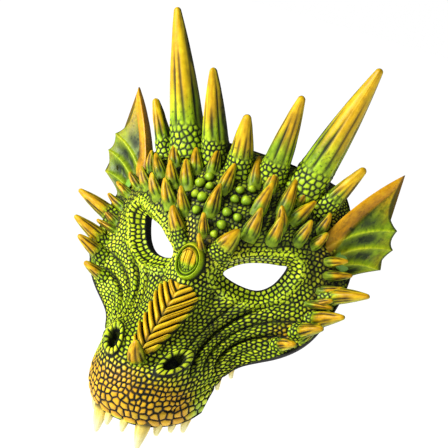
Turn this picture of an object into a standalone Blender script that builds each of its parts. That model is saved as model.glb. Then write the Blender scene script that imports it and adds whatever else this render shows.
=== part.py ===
# Dragon half-mask, moulded foam with horns, ear fins, teeth, snap buttons and a head strap.
# Frame: as worn, +Z up, the face looks along -Y, the wearer's left is +X, origin at the
# wearer's nasion just behind the bridge.  Built in metres; MM turns millimetres into metres.

import bpy
import bmesh
import numpy as np
from mathutils import Matrix, Vector

for old in list(bpy.data.objects):
    bpy.data.objects.remove(old, do_unlink=True)

MM = 0.001
SKIN = 5.0                   # foam wall
GLUE = 0.3                   # gap between every two pieces
SEAT_DEPTH = 0.85            # how far the seat cutter shrinks toward SEAT_CENTRE
SEAT_CENTRE = (0.0, 60.0, -20.0)
EYE_CENTRE = (37.0, -5.0, 2.5)
EYE_TANGENT = (0.88, 0.47, 0.0)
BUTTON_AT = (4.72, 7.55)     # station of the snap buttons
CAP_R = 6.5
CAP_T = 2.0
BACK_R = 5.0
BACK_T = 2.0
POST_R = 1.4
PAD_CUT = 0.5                # depth of the flat pad under each button
STRAP_GAP_OUT = 1.6          # play between foam and strap ring
STRAP_GAP_IN = 1.0           # play between strap ring and back
RING_R = 5.0
RING_T = 1.6
RING_HOLE = 2.9
BAND_W = 10.0
BAND_T = 1.2

# Control cage of the outer skin, lip row first, mid-line column first.
CAGE = [
    [(0, -64, -96), (12, -63, -96), (22, -57, -94), (30, -48, -91), (35, -40, -87), (37, -32, -83)],
    [(0, -73, -88), (15, -71, -88), (28, -61, -86), (35, -50, -81), (38, -40, -76), (39, -32, -72)],
    [(0, -74, -75), (15, -72, -75), (28, -61, -73), (35, -47, -68), (38, -36, -64), (41, -28, -60)],
    [(0, -66, -61), (12, -66, -60), (25, -60, -56), (33, -42, -53), (38, -26, -51), (47, -17, -50)],
    [(0, -55, -46), (12, -48, -44), (22, -35, -41), (31, -22, -39), (44, -12, -40), (63, -9, -43)],
    [(0, -41, -28), (12, -31, -27), (24, -16, -24), (40, -8, -22), (60, -3, -24), (80, -1, -28)],
    [(0, -29, -11), (12, -20, -9), (25, -10, -5), (43, -2, -3), (65, 5, -5), (85, 14, -8)],
    [(0, -27, 7), (12, -21, 9), (28, -13, 14), (45, -4, 17), (66, 8, 16), (86, 27, 12)],
    [(0, -23, 25), (14, -19, 27), (31, -12, 31), (47, -2, 35), (64, 12, 35), (81, 33, 33)],
    [(0, -11, 43), (14, -8, 44), (31, 0, 46), (46, 10, 49), (60, 23, 50), (71, 39, 50)],
    [(0, 6, 59), (14, 8, 60), (30, 14, 62), (44, 22, 62), (55, 33, 61), (62, 45, 60)],
    [(0, 26, 71), (14, 27, 71), (28, 31, 70), (39, 37, 68), (49, 44, 66), (56, 53, 62)],
]
CAGE = np.array(CAGE, float)
ROWS, COLS = CAGE.shape[:2]
LEVEL = 2                    # subdivision level of the skin

parts = bpy.data.collections.new("Dragon_Mask")
bpy.context.scene.collection.children.link(parts)
guides = bpy.data.collections.new("Guides")
bpy.context.scene.collection.children.link(guides)


def material(name, colour, rough):
    """A plain Principled material."""
    mat = bpy.data.materials.new(name)
    mat.use_nodes = True
    shader = mat.node_tree.nodes["Principled BSDF"]
    shader.inputs["Base Color"].default_value = (*colour, 1.0)
    shader.inputs["Roughness"].default_value = rough
    return mat


def place(name, mesh, colour=None, rough=0.5):
    """Links a mesh as a finished piece, or as a hidden guide when no colour is given."""
    obj = bpy.data.objects.new(name, mesh)
    if colour is None:
        obj.hide_render = True
        obj.display_type = 'WIRE'
        guides.objects.link(obj)
    else:
        mesh.materials.clear()
        mesh.materials.append(material(name + "_mat", colour, rough))
        parts.objects.link(obj)
    return obj


def boolean(obj, other, kind):
    """Adds a live exact Boolean."""
    mod = obj.modifiers.new(kind.lower() + "_" + other.name, 'BOOLEAN')
    mod.operation = kind
    mod.solver = 'EXACT'
    mod.object = other


def mesh_from(name, points, faces):
    """Mesh from millimetre points, with its faces turned outward."""
    mesh = bpy.data.meshes.new(name)
    mesh.from_pydata([tuple(MM * float(c) for c in p) for p in points], [], faces)
    bm = bmesh.new()
    bm.from_mesh(mesh)
    bmesh.ops.recalc_face_normals(bm, faces=bm.faces)
    bm.to_mesh(mesh)
    bm.free()
    return mesh


# --- The skin as a formula: uniform cubic B-spline through the mirrored cage ---
def padded_cage():
    """The cage with its mirrored and reflected border rows and columns."""
    mirror = CAGE[:, 1:2] * (-1, 1, 1)
    beyond = 2 * CAGE[:, -1:] - CAGE[:, -2:-1]
    wide = np.concatenate([mirror, CAGE, beyond], axis=1)
    first = 2 * wide[:1] - wide[1:2]
    last = 2 * wide[-1:] - wide[-2:-1]
    return np.concatenate([first, wide, last], axis=0)


PADDED = padded_cage()


def weights(t, count):
    """Start index and the four cubic B-spline weights at t."""
    i = int(min(max(np.floor(t), 0), count - 2))
    s = t - i
    w = ((1 - s) ** 3, 3 * s ** 3 - 6 * s ** 2 + 4, -3 * s ** 3 + 3 * s ** 2 + 3 * s + 1, s ** 3)
    return i, np.array(w) / 6


def skin(u, v):
    """Point of the outer skin at station u (mid-line 0, rim 5) and v (lip 0, crown 11)."""
    side = -1.0 if u < 0 else 1.0
    i, a = weights(abs(u), COLS)
    j, b = weights(v, ROWS)
    p = np.einsum('i,ijc,j->c', b, PADDED[j:j + 4, i:i + 4], a)
    p[0] *= side
    return p


def normal(u, v):
    """Outward unit normal of the skin."""
    h = 0.02
    across = skin(min(u + h, 5), v) - skin(max(u - h, -5), v)
    along = skin(u, min(v + h, 11)) - skin(u, max(v - h, 0))
    n = np.cross(across, along)
    return n / np.linalg.norm(n)


# --- Seat cutter: everything from a glue gap above the skin down to well behind it ---
def seat_mesh(name, past):
    """Grid GLUE above the skin and some way past its rim, closed to a copy shrunk to SEAT_CENTRE."""
    us = np.linspace(-5, 5, 10 * 2 ** LEVEL + 1)
    vs = np.linspace(0, 11, 11 * 2 ** LEVEL + 1)
    out = np.array([[normal(u, v) for u in us] for v in vs])
    top = np.array([[skin(u, v) for u in us] for v in vs]) + GLUE * out
    for edge, inner in ((top[0], top[1]), (top[-1], top[-2])):
        step = edge - inner
        edge += past * step / np.linalg.norm(step, axis=1)[:, None]
    for k, m in ((0, 1), (-1, -2)):
        step = top[:, k] - top[:, m]
        top[:, k] += past * step / np.linalg.norm(step, axis=1)[:, None]
    centre = np.array(SEAT_CENTRE)
    low = centre + SEAT_DEPTH * (top - centre)
    rows, cols = top.shape[:2]
    points = np.concatenate([top.reshape(-1, 3), low.reshape(-1, 3)])
    faces = []
    base = rows * cols
    for r in range(rows - 1):
        for c in range(cols - 1):
            a = r * cols + c
            faces.append((a, a + 1, a + cols + 1, a + cols))
            faces.append((base + a, base + a + cols, base + a + cols + 1, base + a + 1))
    rim = [c for c in range(cols)]
    rim += [r * cols + cols - 1 for r in range(1, rows)]
    rim += [(rows - 1) * cols + c for c in range(cols - 2, -1, -1)]
    rim += [r * cols for r in range(rows - 2, 0, -1)]
    for a, b in zip(rim, rim[1:] + rim[:1]):
        faces.append((b, a, base + a, base + b))
    return mesh_from(name, points, faces)


seat = place("seat_cutter", seat_mesh("seat_cutter", 7.0))


# --- Builders ---
def tapered_mesh(name, path, radii, sides=2, steps=2):
    """Mesh of a Blender curve with a round bevel whose radius follows the listed values."""
    curve = bpy.data.curves.new(name, 'CURVE')
    curve.dimensions = '3D'
    curve.bevel_depth = MM
    curve.bevel_resolution = sides
    curve.use_fill_caps = True
    curve.resolution_u = steps
    spline = curve.splines.new('BEZIER')
    spline.bezier_points.add(len(path) - 1)
    for knot, p, r in zip(spline.bezier_points, path, radii):
        knot.co = Vector(p) * MM
        knot.radius = r
        knot.handle_left_type = 'AUTO'
        knot.handle_right_type = 'AUTO'
    temp = bpy.data.objects.new(name + "_curve", curve)
    guides.objects.link(temp)
    bpy.context.view_layer.update()
    graph = bpy.context.evaluated_depsgraph_get()
    mesh = bpy.data.meshes.new_from_object(temp.evaluated_get(graph))
    bpy.data.objects.remove(temp, do_unlink=True)
    bpy.data.curves.remove(curve)
    bm = bmesh.new()
    bm.from_mesh(mesh)
    bmesh.ops.remove_doubles(bm, verts=bm.verts, dist=1e-6)
    bmesh.ops.recalc_face_normals(bm, faces=bm.faces)
    bm.to_mesh(mesh)
    bm.free()
    mesh.name = name
    return mesh


def spike_path(base, tip, sink, bow):
    """Root below the skin, base, a bowed middle, a shoulder near the tip, and the tip."""
    base = np.array(base, float)
    tip = np.array(tip, float)
    axis = (tip - base) / np.linalg.norm(tip - base)
    bow = np.array(bow, float)
    path = [base - sink * axis, base]
    for t in (0.35, 0.7, 0.94):
        path.append(base + t * (tip - base) + 4 * t * (1 - t) * bow)
    path.append(tip)
    return path


def spike(name, base, tip, r, colour, sink=7.0, bow=(0, 0, 0), blunt=0.14, sides=2, on=seat):
    """A horn, spike or tooth seated on the skin, or under its edge."""
    profile = (1.0, 1.0, 0.82, 0.52, 0.5 * blunt + 0.16, 0.5 * blunt)
    radii = [r * k for k in profile]
    obj = place(name, tapered_mesh(name, spike_path(base, tip, sink, bow), radii, sides), colour)
    boolean(obj, on, 'DIFFERENCE')
    return obj


def sided(p, side):
    """Mirrors a point for the other side of the face."""
    return (side * p[0], p[1], p[2])


HORN = (0.62, 0.56, 0.06)
SPIKE = (0.60, 0.60, 0.08)
TOOTH = (0.86, 0.78, 0.36)
GREEN = (0.42, 0.58, 0.05)

# --- Face shell: subdivided cage, thickened inward; a slightly swollen copy trims the teeth ---
cage_points = []
for row in CAGE:
    cage_points += [tuple(p * (-1, 1, 1)) for p in row[:0:-1]]
    cage_points += [tuple(p) for p in row]
WIDE = 2 * COLS - 1
cage_faces = []
for r in range(ROWS - 1):
    for c in range(WIDE - 1):
        a = r * WIDE + c
        cage_faces.append((a, a + 1, a + WIDE + 1, a + WIDE))


def wall_object(name, colour=None):
    """The skin cage, smoothed and thickened inward."""
    mesh = bpy.data.meshes.new(name)
    mesh.from_pydata([tuple(MM * float(c) for c in p) for p in cage_points], [], cage_faces)
    obj = place(name, mesh, colour, 0.45)
    smooth = obj.modifiers.new("skin", 'SUBSURF')
    smooth.levels = LEVEL
    smooth.render_levels = LEVEL
    wall = obj.modifiers.new("wall", 'SOLIDIFY')
    wall.thickness = SKIN * MM
    wall.offset = -1.0
    wall.use_even_offset = True
    return obj


face = wall_object("face_shell", GREEN)
swollen = wall_object("wall_cutter")
swell = swollen.modifiers.new("swell", 'DISPLACE')
swell.strength = 0.42 * MM
swell.mid_level = 0.0


def basis_at(origin, z_axis, x_hint):
    """Placement with +Z along z_axis and +X near x_hint."""
    z = Vector(z_axis).normalized()
    x = Vector(x_hint)
    x = (x - z * x.dot(z)).normalized()
    y = z.cross(x)
    turn = Matrix((x, y, z)).transposed().to_4x4()
    return Matrix.Translation(Vector(origin) * MM) @ turn


# --- Eye openings: almond prisms straight through the wall ---
ALMOND = [(-19, -5), (-14, 0.5), (-7, 4.5), (3, 7.5), (12, 9), (17.5, 9.5),
          (15, 2), (10, -5), (2, -9.5), (-10, -9)]
for side, tag in ((1, "l"), (-1, "r")):
    outline = bpy.data.curves.new("eye_cutter_" + tag, 'CURVE')
    outline.dimensions = '2D'
    outline.fill_mode = 'BOTH'
    outline.extrude = 16 * MM
    outline.resolution_u = 3
    loop = outline.splines.new('BEZIER')
    loop.bezier_points.add(len(ALMOND) - 1)
    loop.use_cyclic_u = True
    for knot, p in zip(loop.bezier_points, ALMOND):
        knot.co = (side * p[0] * MM, p[1] * MM, 0)
        knot.handle_left_type = 'AUTO'
        knot.handle_right_type = 'AUTO'
    temp = bpy.data.objects.new("eye_outline_" + tag, outline)
    guides.objects.link(temp)
    bpy.context.view_layer.update()
    graph = bpy.context.evaluated_depsgraph_get()
    cut_mesh = bpy.data.meshes.new_from_object(temp.evaluated_get(graph))
    bpy.data.objects.remove(temp, do_unlink=True)
    cut_mesh.name = "eye_cutter_" + tag
    bm = bmesh.new()
    bm.from_mesh(cut_mesh)
    bmesh.ops.remove_doubles(bm, verts=bm.verts, dist=1e-6)
    bmesh.ops.recalc_face_normals(bm, faces=bm.faces)
    bm.to_mesh(cut_mesh)
    bm.free()
    cutter = place("eye_cutter_" + tag, cut_mesh)
    facing = (side * EYE_TANGENT[1], -EYE_TANGENT[0], 0)
    cutter.matrix_world = basis_at(sided(EYE_CENTRE, side), facing, (1, side * 0.5, 0))
    boolean(face, cutter, 'DIFFERENCE')

# --- Nostrils: slanted pockets in the snout ---
for side, tag in ((1, "l"), (-1, "r")):
    mesh = bpy.data.meshes.new("nostril_cutter_" + tag)
    bm = bmesh.new()
    bmesh.ops.create_icosphere(bm, subdivisions=2, radius=MM)
    bm.to_mesh(mesh)
    bm.free()
    cutter = place("nostril_cutter_" + tag, mesh)
    out = normal(side * 1.7, 3.2)
    along = np.array(sided((10, 13, 10), side), float)
    spot = skin(side * 1.7, 3.2) + 0.8 * out
    cutter.matrix_world = basis_at(spot, out, along) @ Matrix.Diagonal((7.0, 3.6, 4.0, 1.0))
    boolean(face, cutter, 'DIFFERENCE')

# --- Moulded forehead and temple spikes, one body with the foam ---
# Each line: station of the base, station under the tip, base radius.
MOULDED = [
    (1.05, 9.6, 0.9, 10.1, 4.0), (1.75, 9.45, 1.9, 9.95, 3.8), (1.6, 8.65, 1.8, 9.25, 4.2),
    (2.45, 8.8, 2.55, 9.45, 4.2), (3.05, 8.45, 3.35, 8.95, 4.0),
    (2.35, 8.2, 2.5, 8.65, 3.8), (1.85, 7.8, 2.0, 8.35, 4.4), (2.7, 7.7, 2.8, 8.2, 4.0),
    (3.45, 7.8, 3.6, 8.25, 3.8), (3.9, 8.4, 4.0, 8.75, 3.4), (4.0, 7.8, 4.15, 8.1, 3.4),
    (4.15, 7.3, 4.5, 7.35, 3.0), (4.15, 6.85, 4.5, 6.95, 3.0), (4.1, 6.4, 4.4, 6.5, 3.0),
]
bump_parts = []


def bump_mesh(u0, v0, u1, v1, r, lift=5.0):
    """Eight-sided cone from inside the wall to a tip standing off the skin."""
    base = skin(u0, v0) - 1.3 * normal(u0, v0)
    tip = skin(u1, v1) + lift * normal(u1, v1)
    body = base + 0.55 * (tip - base)
    end = base + 0.96 * (tip - base)
    return tapered_mesh("moulded_spike", [base, body, end], [r, 0.72 * r, 0.16 * r], 1, 1)


for u0, v0, u1, v1, r in MOULDED:
    bump_parts.append(bump_mesh(u0, v0, u1, v1, r))
    bump_parts.append(bump_mesh(-u0, v0, -u1, v1, r))
bump_parts.append(bump_mesh(0.0, 9.1, 0.0, 9.7, 4.2))
bump_parts.append(bump_mesh(0.0, 8.3, 0.0, 8.9, 4.2))
for number, mesh in enumerate(bump_parts):
    mesh.name = "moulded_spike_" + str(number)
    boolean(face, place(mesh.name, mesh), 'UNION')

# --- Crown horns ---
spike("centre_horn", (0, 10, 60), (0, -2, 95), 7.6, HORN)
for side, tag in ((1, "l"), (-1, "r")):
    spike("inner_horn_" + tag, sided((20, 15, 62), side), sided((31, -2, 116), side), 8.2, HORN)
    spike("tall_horn_" + tag, sided((42, 22, 61), side), sided((70.5, 7.5, 145), side), 9.8, HORN,
          sink=5.0, blunt=0.2)
    spike("outer_horn_" + tag, sided((57, 22.5, 52.5), side), sided((75, 22, 84), side), 5.8, HORN,
          sink=5.0)

# --- Brow spikes, cheek spikes and the small horn on the nose ---
spike("nose_horn", (0, -62, -58), (0, -71, -46), 5.2, SPIKE, sink=4.0, bow=(0, -1.5, 0))
CHEEK = [
    ((79, 16, 2), (105, 10, 12), 5.2), ((76, 9, -14), (97, -1.5, -3), 5.2),
    ((72, 1, -22), (88, -7, -13), 4.6), ((64, -5, -33), (76, -12, -27), 4.0),
]
for side, tag in ((1, "l"), (-1, "r")):
    spike("brow_spike_" + tag, sided((14.5, -18, 11.5), side), sided((24, -22, 29), side), 5.8,
          SPIKE, sink=4.0, bow=sided((0.5, -2.0, 0), side))
    for number, (base, tip, r) in enumerate(CHEEK, 1):
        spike("cheek_spike_" + str(number) + "_" + tag, sided(base, side), sided(tip, side), r,
              SPIKE, sink=4.0)

# --- Teeth under the lip: station of the root, length, radius ---
TEETH = [
    ("fang", 1.35, 18.0, 4.2), ("side_tooth_1", 2.2, 9.0, 2.9), ("side_tooth_2", 3.0, 8.0, 2.7),
    ("side_tooth_3", 4.0, 11.0, 3.0),
]
for side, tag in ((1, "l"), (-1, "r")):
    for name, u, length, r in TEETH:
        edge = skin(side * u, 0.0) - 2.6 * normal(side * u, 0.0)
        tip = edge + np.array((side * 0.6, -1.0, -length - 2.0))
        spike(name + "_" + tag, edge, tip, r, TOOTH, sink=1.5, blunt=0.24,
              sides=1, on=swollen)
for tag, u in (("l", 0.3), ("r", -0.65)):
    edge = skin(u, 0.0) - 2.6 * normal(u, 0.0)
    spike("front_tooth_" + tag, edge, edge + np.array((0, -1.0, -9.5)), 2.8, TOOTH, sink=1.5,
          blunt=0.24, sides=1, on=swollen)
for side, tag in ((1, "l"), (-1, "r")):
    for number, v, length, r in ((1, 2.0, 8.0, 2.1), (2, 2.65, 6.0, 1.9)):
        edge = skin(side * 5.0, v) - 2.6 * normal(side * 5.0, v)
        tip = edge + np.array((side * 0.5, 3.0, -length - 1.0))
        spike("rear_tooth_" + str(number) + "_" + tag, edge, tip, r, TOOTH, sink=1.5, blunt=0.24,
              sides=1, on=swollen)

# --- Boss between the eyes ---
boss_out = normal(0.0, 6.62)
mesh = bpy.data.meshes.new("bridge_boss")
bm = bmesh.new()
bmesh.ops.create_uvsphere(bm, u_segments=20, v_segments=10, radius=MM)
bm.to_mesh(mesh)
bm.free()
mesh.transform(basis_at(skin(0.0, 6.62) - 0.5 * boss_out, boss_out, (1, 0, 0))
               @ Matrix.Diagonal((8.2, 11.0, 5.5, 1.0)))
boss = place("bridge_boss", mesh, SPIKE)
boolean(boss, seat, 'DIFFERENCE')

# --- Snout ridge: eight overlapping chevron plates in one strip ---
PLATES = 8
RIDGE_TOP = 5.75
RIDGE_END = 3.55
RIDGE_HALF = 0.85            # half width in stations
sections = []
for k in range(PLATES):
    for t, rise in ((0.0, 1.6), (0.92, 3.6)):
        at = (k + t) / PLATES
        v = RIDGE_TOP + (RIDGE_END - RIDGE_TOP) * at
        half = RIDGE_HALF * (1.0 - 0.35 * abs(2 * at - 0.7))
        ring = []
        for u, h in ((-half, 0.35 * rise), (-0.5 * half, 0.8 * rise), (0, rise + 0.8),
                     (0.5 * half, 0.8 * rise), (half, 0.35 * rise)):
            back = min(v + 0.55 * abs(u), 10.9)
            ring.append(skin(u, back) + h * normal(u, back))
        for u in (half, 0.0, -half):
            back = min(v + 0.55 * abs(u), 10.9)
            ring.append(skin(u, back) - 2.5 * normal(u, back))
        sections.append(ring)
count = len(sections[0])
points = [p for ring in sections for p in ring]
faces = [tuple(range(count))]
for s in range(len(sections) - 1):
    for c in range(count):
        a = s * count + c
        b = s * count + (c + 1) % count
        faces.append((a, b, b + count, a + count))
faces.append(tuple(range((len(sections) - 1) * count, len(sections) * count)))
ridge = place("snout_ridge", mesh_from("snout_ridge", points, faces), SPIKE)
boolean(ridge, seat, 'DIFFERENCE')

# --- Snap buttons: flat pads and holes in the foam, cap with post, back ---
PAD_DEPTH = SKIN - PAD_CUT                       # inner pad, measured from the outer skin
STACK = (PAD_DEPTH + STRAP_GAP_OUT, PAD_DEPTH + STRAP_GAP_OUT + RING_T)
BACK_FRONT = STACK[1] + STRAP_GAP_IN             # face of the back toward the foam
BACK_REAR = BACK_FRONT + BACK_T


def revolved(name, profile, steps, colour=None, rough=0.4):
    """A closed outline, listed anticlockwise, spun about Z by a Screw modifier."""
    profile = profile[::-1]
    mesh = bpy.data.meshes.new(name)
    count = len(profile)
    on_axis = profile[0][0] == 0 and profile[-1][0] == 0
    edges = [(i, i + 1) for i in range(count - 1)]
    if not on_axis:
        edges.append((count - 1, 0))
    mesh.from_pydata([(r * MM, 0, z * MM) for r, z in profile], edges, [])
    obj = place(name, mesh, colour, rough)
    screw = obj.modifiers.new("spin", 'SCREW')
    screw.steps = steps
    screw.render_steps = steps
    screw.use_merge_vertices = True
    screw.merge_threshold = 1e-5
    return obj


def button_place(side):
    """Placement of a button: origin on the skin, +Z outward."""
    u, v = BUTTON_AT
    out = normal(side * u, v)
    return basis_at(skin(side * u, v), out, (0, 0, 1))


for side, tag in ((1, "l"), (-1, "r")):
    pose = button_place(side)
    clear = CAP_R + 0.6
    cutter = revolved("pad_cutter_" + tag, [(0, -PAD_CUT), (clear, -PAD_CUT), (clear, 9), (0, 9)], 24)
    cutter.matrix_world = pose
    boolean(face, cutter, 'DIFFERENCE')
    cutter = revolved("inner_pad_cutter_" + tag,
                      [(0, -14), (clear, -14), (clear, -PAD_DEPTH), (0, -PAD_DEPTH)], 24)
    cutter.matrix_world = pose
    boolean(face, cutter, 'DIFFERENCE')
    hole = POST_R + GLUE
    cutter = revolved("post_hole_cutter_" + tag, [(0, -9), (hole, -9), (hole, 3), (0, 3)], 24)
    cutter.matrix_world = pose
    boolean(face, cutter, 'DIFFERENCE')

    low = -PAD_CUT + GLUE
    cap = revolved("snap_cap_" + tag, [
        (0, -BACK_REAR + 0.5), (POST_R, -BACK_REAR + 0.5), (POST_R, low), (CAP_R - 0.4, low),
        (CAP_R, low + 0.5), (CAP_R, low + 0.9), (CAP_R - 0.7, low + CAP_T - 0.2),
        (CAP_R - 1.6, low + CAP_T), (0, low + CAP_T)], 24, (0.28, 0.62, 0.10), 0.25)
    cap.matrix_world = pose
    bore = POST_R + GLUE
    back = revolved("snap_back_" + tag, [
        (bore, -BACK_REAR), (BACK_R - 0.5, -BACK_REAR), (BACK_R, -BACK_REAR + 0.5),
        (BACK_R, -BACK_FRONT - 0.5), (BACK_R - 0.5, -BACK_FRONT), (bore, -BACK_FRONT)], 24,
        (0.28, 0.62, 0.10), 0.3)
    back.matrix_world = pose

# --- Ear fins: leading spar with a scalloped web behind it ---
SPAR_BASE = (66, 23, 40)
SPAR_TIP = (96, 38, 86)
WEB_T = 2.4
FIN_POINTS = [(96.5, 85), (102.5, 52), (104, 40), (101, 26)]     # x and z of the scallop points
FIN_ROOT = [(84, 14), (72, 16), (62, 36)]                        # x and z inside the cheek


def fin_y(x, z):
    """The web lies in one slightly swept plane."""
    return 23 + 0.30 * (x - 66) + 0.12 * (z - 41)


for side, tag in ((1, "l"), (-1, "r")):
    rim = []
    for a, b in zip(FIN_POINTS, FIN_POINTS[1:]):
        a = np.array(a, float)
        b = np.array(b, float)
        inward = np.array((80, 38), float) - 0.5 * (a + b)
        inward /= np.linalg.norm(inward)
        sag = 0.2 * np.linalg.norm(b - a)
        for t in (0.0, 0.25, 0.5, 0.75):
            rim.append(a + t * (b - a) + 4 * t * (1 - t) * sag * inward)
    rim.append(np.array(FIN_POINTS[-1], float))
    rim += [np.array(p, float) for p in FIN_ROOT]
    points = [(side * p[0], fin_y(p[0], p[1]), p[1]) for p in rim]
    mesh = mesh_from("ear_fin_" + tag, points, [tuple(range(len(points)))])
    fin = place("ear_fin_" + tag, mesh, (0.38, 0.50, 0.06))
    web = fin.modifiers.new("web", 'SOLIDIFY')
    web.thickness = WEB_T * MM
    web.offset = 0.0
    path = spike_path(sided(SPAR_BASE, side), sided(SPAR_TIP, side), 4.0, (0, 0, 0))
    spar = place("spar_" + tag, tapered_mesh("spar_" + tag, path, (5, 5, 4.2, 3.0, 1.7, 0.8)))
    boolean(fin, spar, 'UNION')
    boolean(fin, seat, 'DIFFERENCE')
    clear = CAP_R + 0.8
    cutter = revolved("fin_notch_cutter_" + tag, [(0, -16), (clear, -16), (clear, 12), (0, 12)], 24)
    cutter.matrix_world = button_place(side)
    boolean(fin, cutter, 'DIFFERENCE')

# --- Head strap: flat elastic band round the back of the head, a ring at each button ---
ring_mid = -0.5 * (STACK[0] + STACK[1])
spots = {}
for side in (1, -1):
    spots[side] = button_place(side) @ Vector((0, 0, ring_mid * MM)) / MM
out = Vector(normal(*BUTTON_AT))
lead = Vector((-out.y, out.x, 0)).normalized()
if lead.y < 0:
    lead = -lead
start = spots[1]
half = [start + lead * 2.0, start + lead * 11.0]
WRAP = [(82.5, 49), (77, 70), (63, 97), (38, 116), (0, 124)]
widths = [out.cross(lead).normalized()] * 2
for x, y in WRAP:
    half.append(Vector((x, y, start.z)))
    widths.append(Vector((0, 0, 1)))
if widths[0].z < 0:
    widths[0] = widths[1] = -widths[0]
narrow = [0.34, 0.34, 0.5, 0.5, 0.5, 0.5, 0.5]
line = list(zip(half, widths, narrow))
mirrored = [(Vector((-p.x, p.y, p.z)), Vector((-w.x, w.y, w.z)), k) for p, w, k in line[-2::-1]]
points = []
for p, w, k in line + mirrored:
    points.append(p - w * BAND_W * k)
    points.append(p + w * BAND_W * k)
faces = [(2 * i, 2 * i + 1, 2 * i + 3, 2 * i + 2) for i in range(len(points) // 2 - 1)]
strap_mesh = bpy.data.meshes.new("elastic_strap")
strap_mesh.from_pydata([tuple(p * MM) for p in points], [], faces)
strap = place("elastic_strap", strap_mesh, (0.02, 0.02, 0.02), 0.8)
ease = strap.modifiers.new("ease", 'SUBSURF')
ease.subdivision_type = 'CATMULL_CLARK'
ease.levels = 2
ease.render_levels = 2
ease.boundary_smooth = 'PRESERVE_CORNERS'
thick = strap.modifiers.new("thick", 'SOLIDIFY')
thick.thickness = BAND_T * MM
thick.offset = 0.0
for side, tag in ((1, "l"), (-1, "r")):
    pose = button_place(side) @ Matrix.Translation((0, 0, ring_mid * MM))
    ring = revolved("strap_ring_" + tag, [(0, -0.5 * RING_T), (RING_R, -0.5 * RING_T),
                                          (RING_R, 0.5 * RING_T), (0, 0.5 * RING_T)], 24)
    ring.matrix_world = pose
    boolean(strap, ring, 'UNION')
    hole = revolved("ring_hole_" + tag, [(0, -4), (RING_HOLE, -4), (RING_HOLE, 4), (0, 4)], 24)
    hole.matrix_world = pose
    boolean(strap, hole, 'DIFFERENCE')
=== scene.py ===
import bpy
import numpy as np
from mathutils import Matrix


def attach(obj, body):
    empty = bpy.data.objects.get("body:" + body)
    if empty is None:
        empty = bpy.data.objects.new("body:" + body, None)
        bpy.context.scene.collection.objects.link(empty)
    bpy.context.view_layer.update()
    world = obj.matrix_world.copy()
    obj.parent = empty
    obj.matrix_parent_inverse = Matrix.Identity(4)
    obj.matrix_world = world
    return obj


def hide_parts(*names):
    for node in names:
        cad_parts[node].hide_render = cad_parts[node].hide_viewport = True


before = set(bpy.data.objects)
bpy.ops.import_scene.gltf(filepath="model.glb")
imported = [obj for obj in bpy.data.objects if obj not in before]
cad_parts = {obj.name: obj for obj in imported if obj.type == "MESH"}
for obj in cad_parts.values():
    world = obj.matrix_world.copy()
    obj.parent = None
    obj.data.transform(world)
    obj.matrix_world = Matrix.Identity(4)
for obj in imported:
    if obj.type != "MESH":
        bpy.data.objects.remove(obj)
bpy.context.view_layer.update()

# --- Camera, floor and light -----------------------------------------------------------
# The mask is seen from the wearer's left and a little above, and it hangs rolled over.
# Lengths in this file are millimetres until a mesh or a light is placed.
MM = 0.001
YAW, PITCH, ROLL = np.radians((21.0, 10.0, 20.0))
LENS = 111.7
CAMERA_AT = (315.4, -797.4, 165.8)
AMBIENT, BACKDROP = 0.18, 1.0      # strength of the sky on the mask, and seen by the camera

scene = bpy.context.scene
scene.view_settings.view_transform = 'Standard'


def camera_turn(yaw, pitch, roll):
    """Columns are the mask's X, Y and Z seen by the camera: turned about Z, tipped about X,
    rolled."""
    right = np.array((np.cos(roll), -np.sin(roll), 0.0))
    up = np.array((np.sin(roll), np.cos(roll), 0.0))
    near = np.array((0.0, 0.0, 1.0))
    x = np.cos(yaw) * right + np.sin(yaw) * near
    front = -np.sin(yaw) * right + np.cos(yaw) * near
    y = -(front * np.cos(pitch) - up * np.sin(pitch))
    z = up * np.cos(pitch) + front * np.sin(pitch)
    return np.stack((x, y, z), 1)


def lay(turn, at):
    """A 4 by 4 placement from three column axes and a point in millimetres."""
    placed = np.eye(4)
    placed[:3, :3] = turn
    placed[:3, 3] = np.array(at) * MM
    return placed.T.tolist()


camera = bpy.data.objects.new("camera", bpy.data.cameras.new("camera"))
camera.data.lens = LENS
camera.data.clip_end = 400.0
scene.collection.objects.link(camera)
scene.camera = camera
VIEW = camera_turn(YAW, PITCH, ROLL).T
camera.matrix_world = Matrix(lay(VIEW, CAMERA_AT)).transposed()


def studio_light(name, side, up, toward, size, power):
    """A square softbox placed by camera directions round the mask, in millimetres, facing it."""
    lamp = bpy.data.lights.new(name, 'AREA')
    lamp.size = size
    lamp.energy = power
    obj = bpy.data.objects.new(name, lamp)
    scene.collection.objects.link(obj)
    away = side * VIEW[:, 0] + up * VIEW[:, 1] + toward * VIEW[:, 2]
    z = away / np.linalg.norm(away)
    x = np.cross(VIEW[:, 1], z)
    x /= np.linalg.norm(x)
    obj.matrix_world = Matrix(lay(np.stack((x, np.cross(z, x), z), 1), away)).transposed()


studio_light("key", -760, 500, 480, 0.40, 15.0)
studio_light("fill", 800, 200, 600, 0.9, 1.3)

world = bpy.data.worlds.new("studio")
world.use_nodes = True
sky = world.node_tree.nodes["Background"]
sky.inputs["Color"].default_value = (1, 1, 1, 1)
ray = world.node_tree.nodes.new("ShaderNodeLightPath")
glow = world.node_tree.nodes.new("ShaderNodeMapRange")
glow.inputs["To Min"].default_value = AMBIENT
glow.inputs["To Max"].default_value = BACKDROP
world.node_tree.links.new(ray.outputs["Is Camera Ray"], glow.inputs["Value"])
world.node_tree.links.new(glow.outputs["Result"], sky.inputs["Strength"])
scene.world = world

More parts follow.
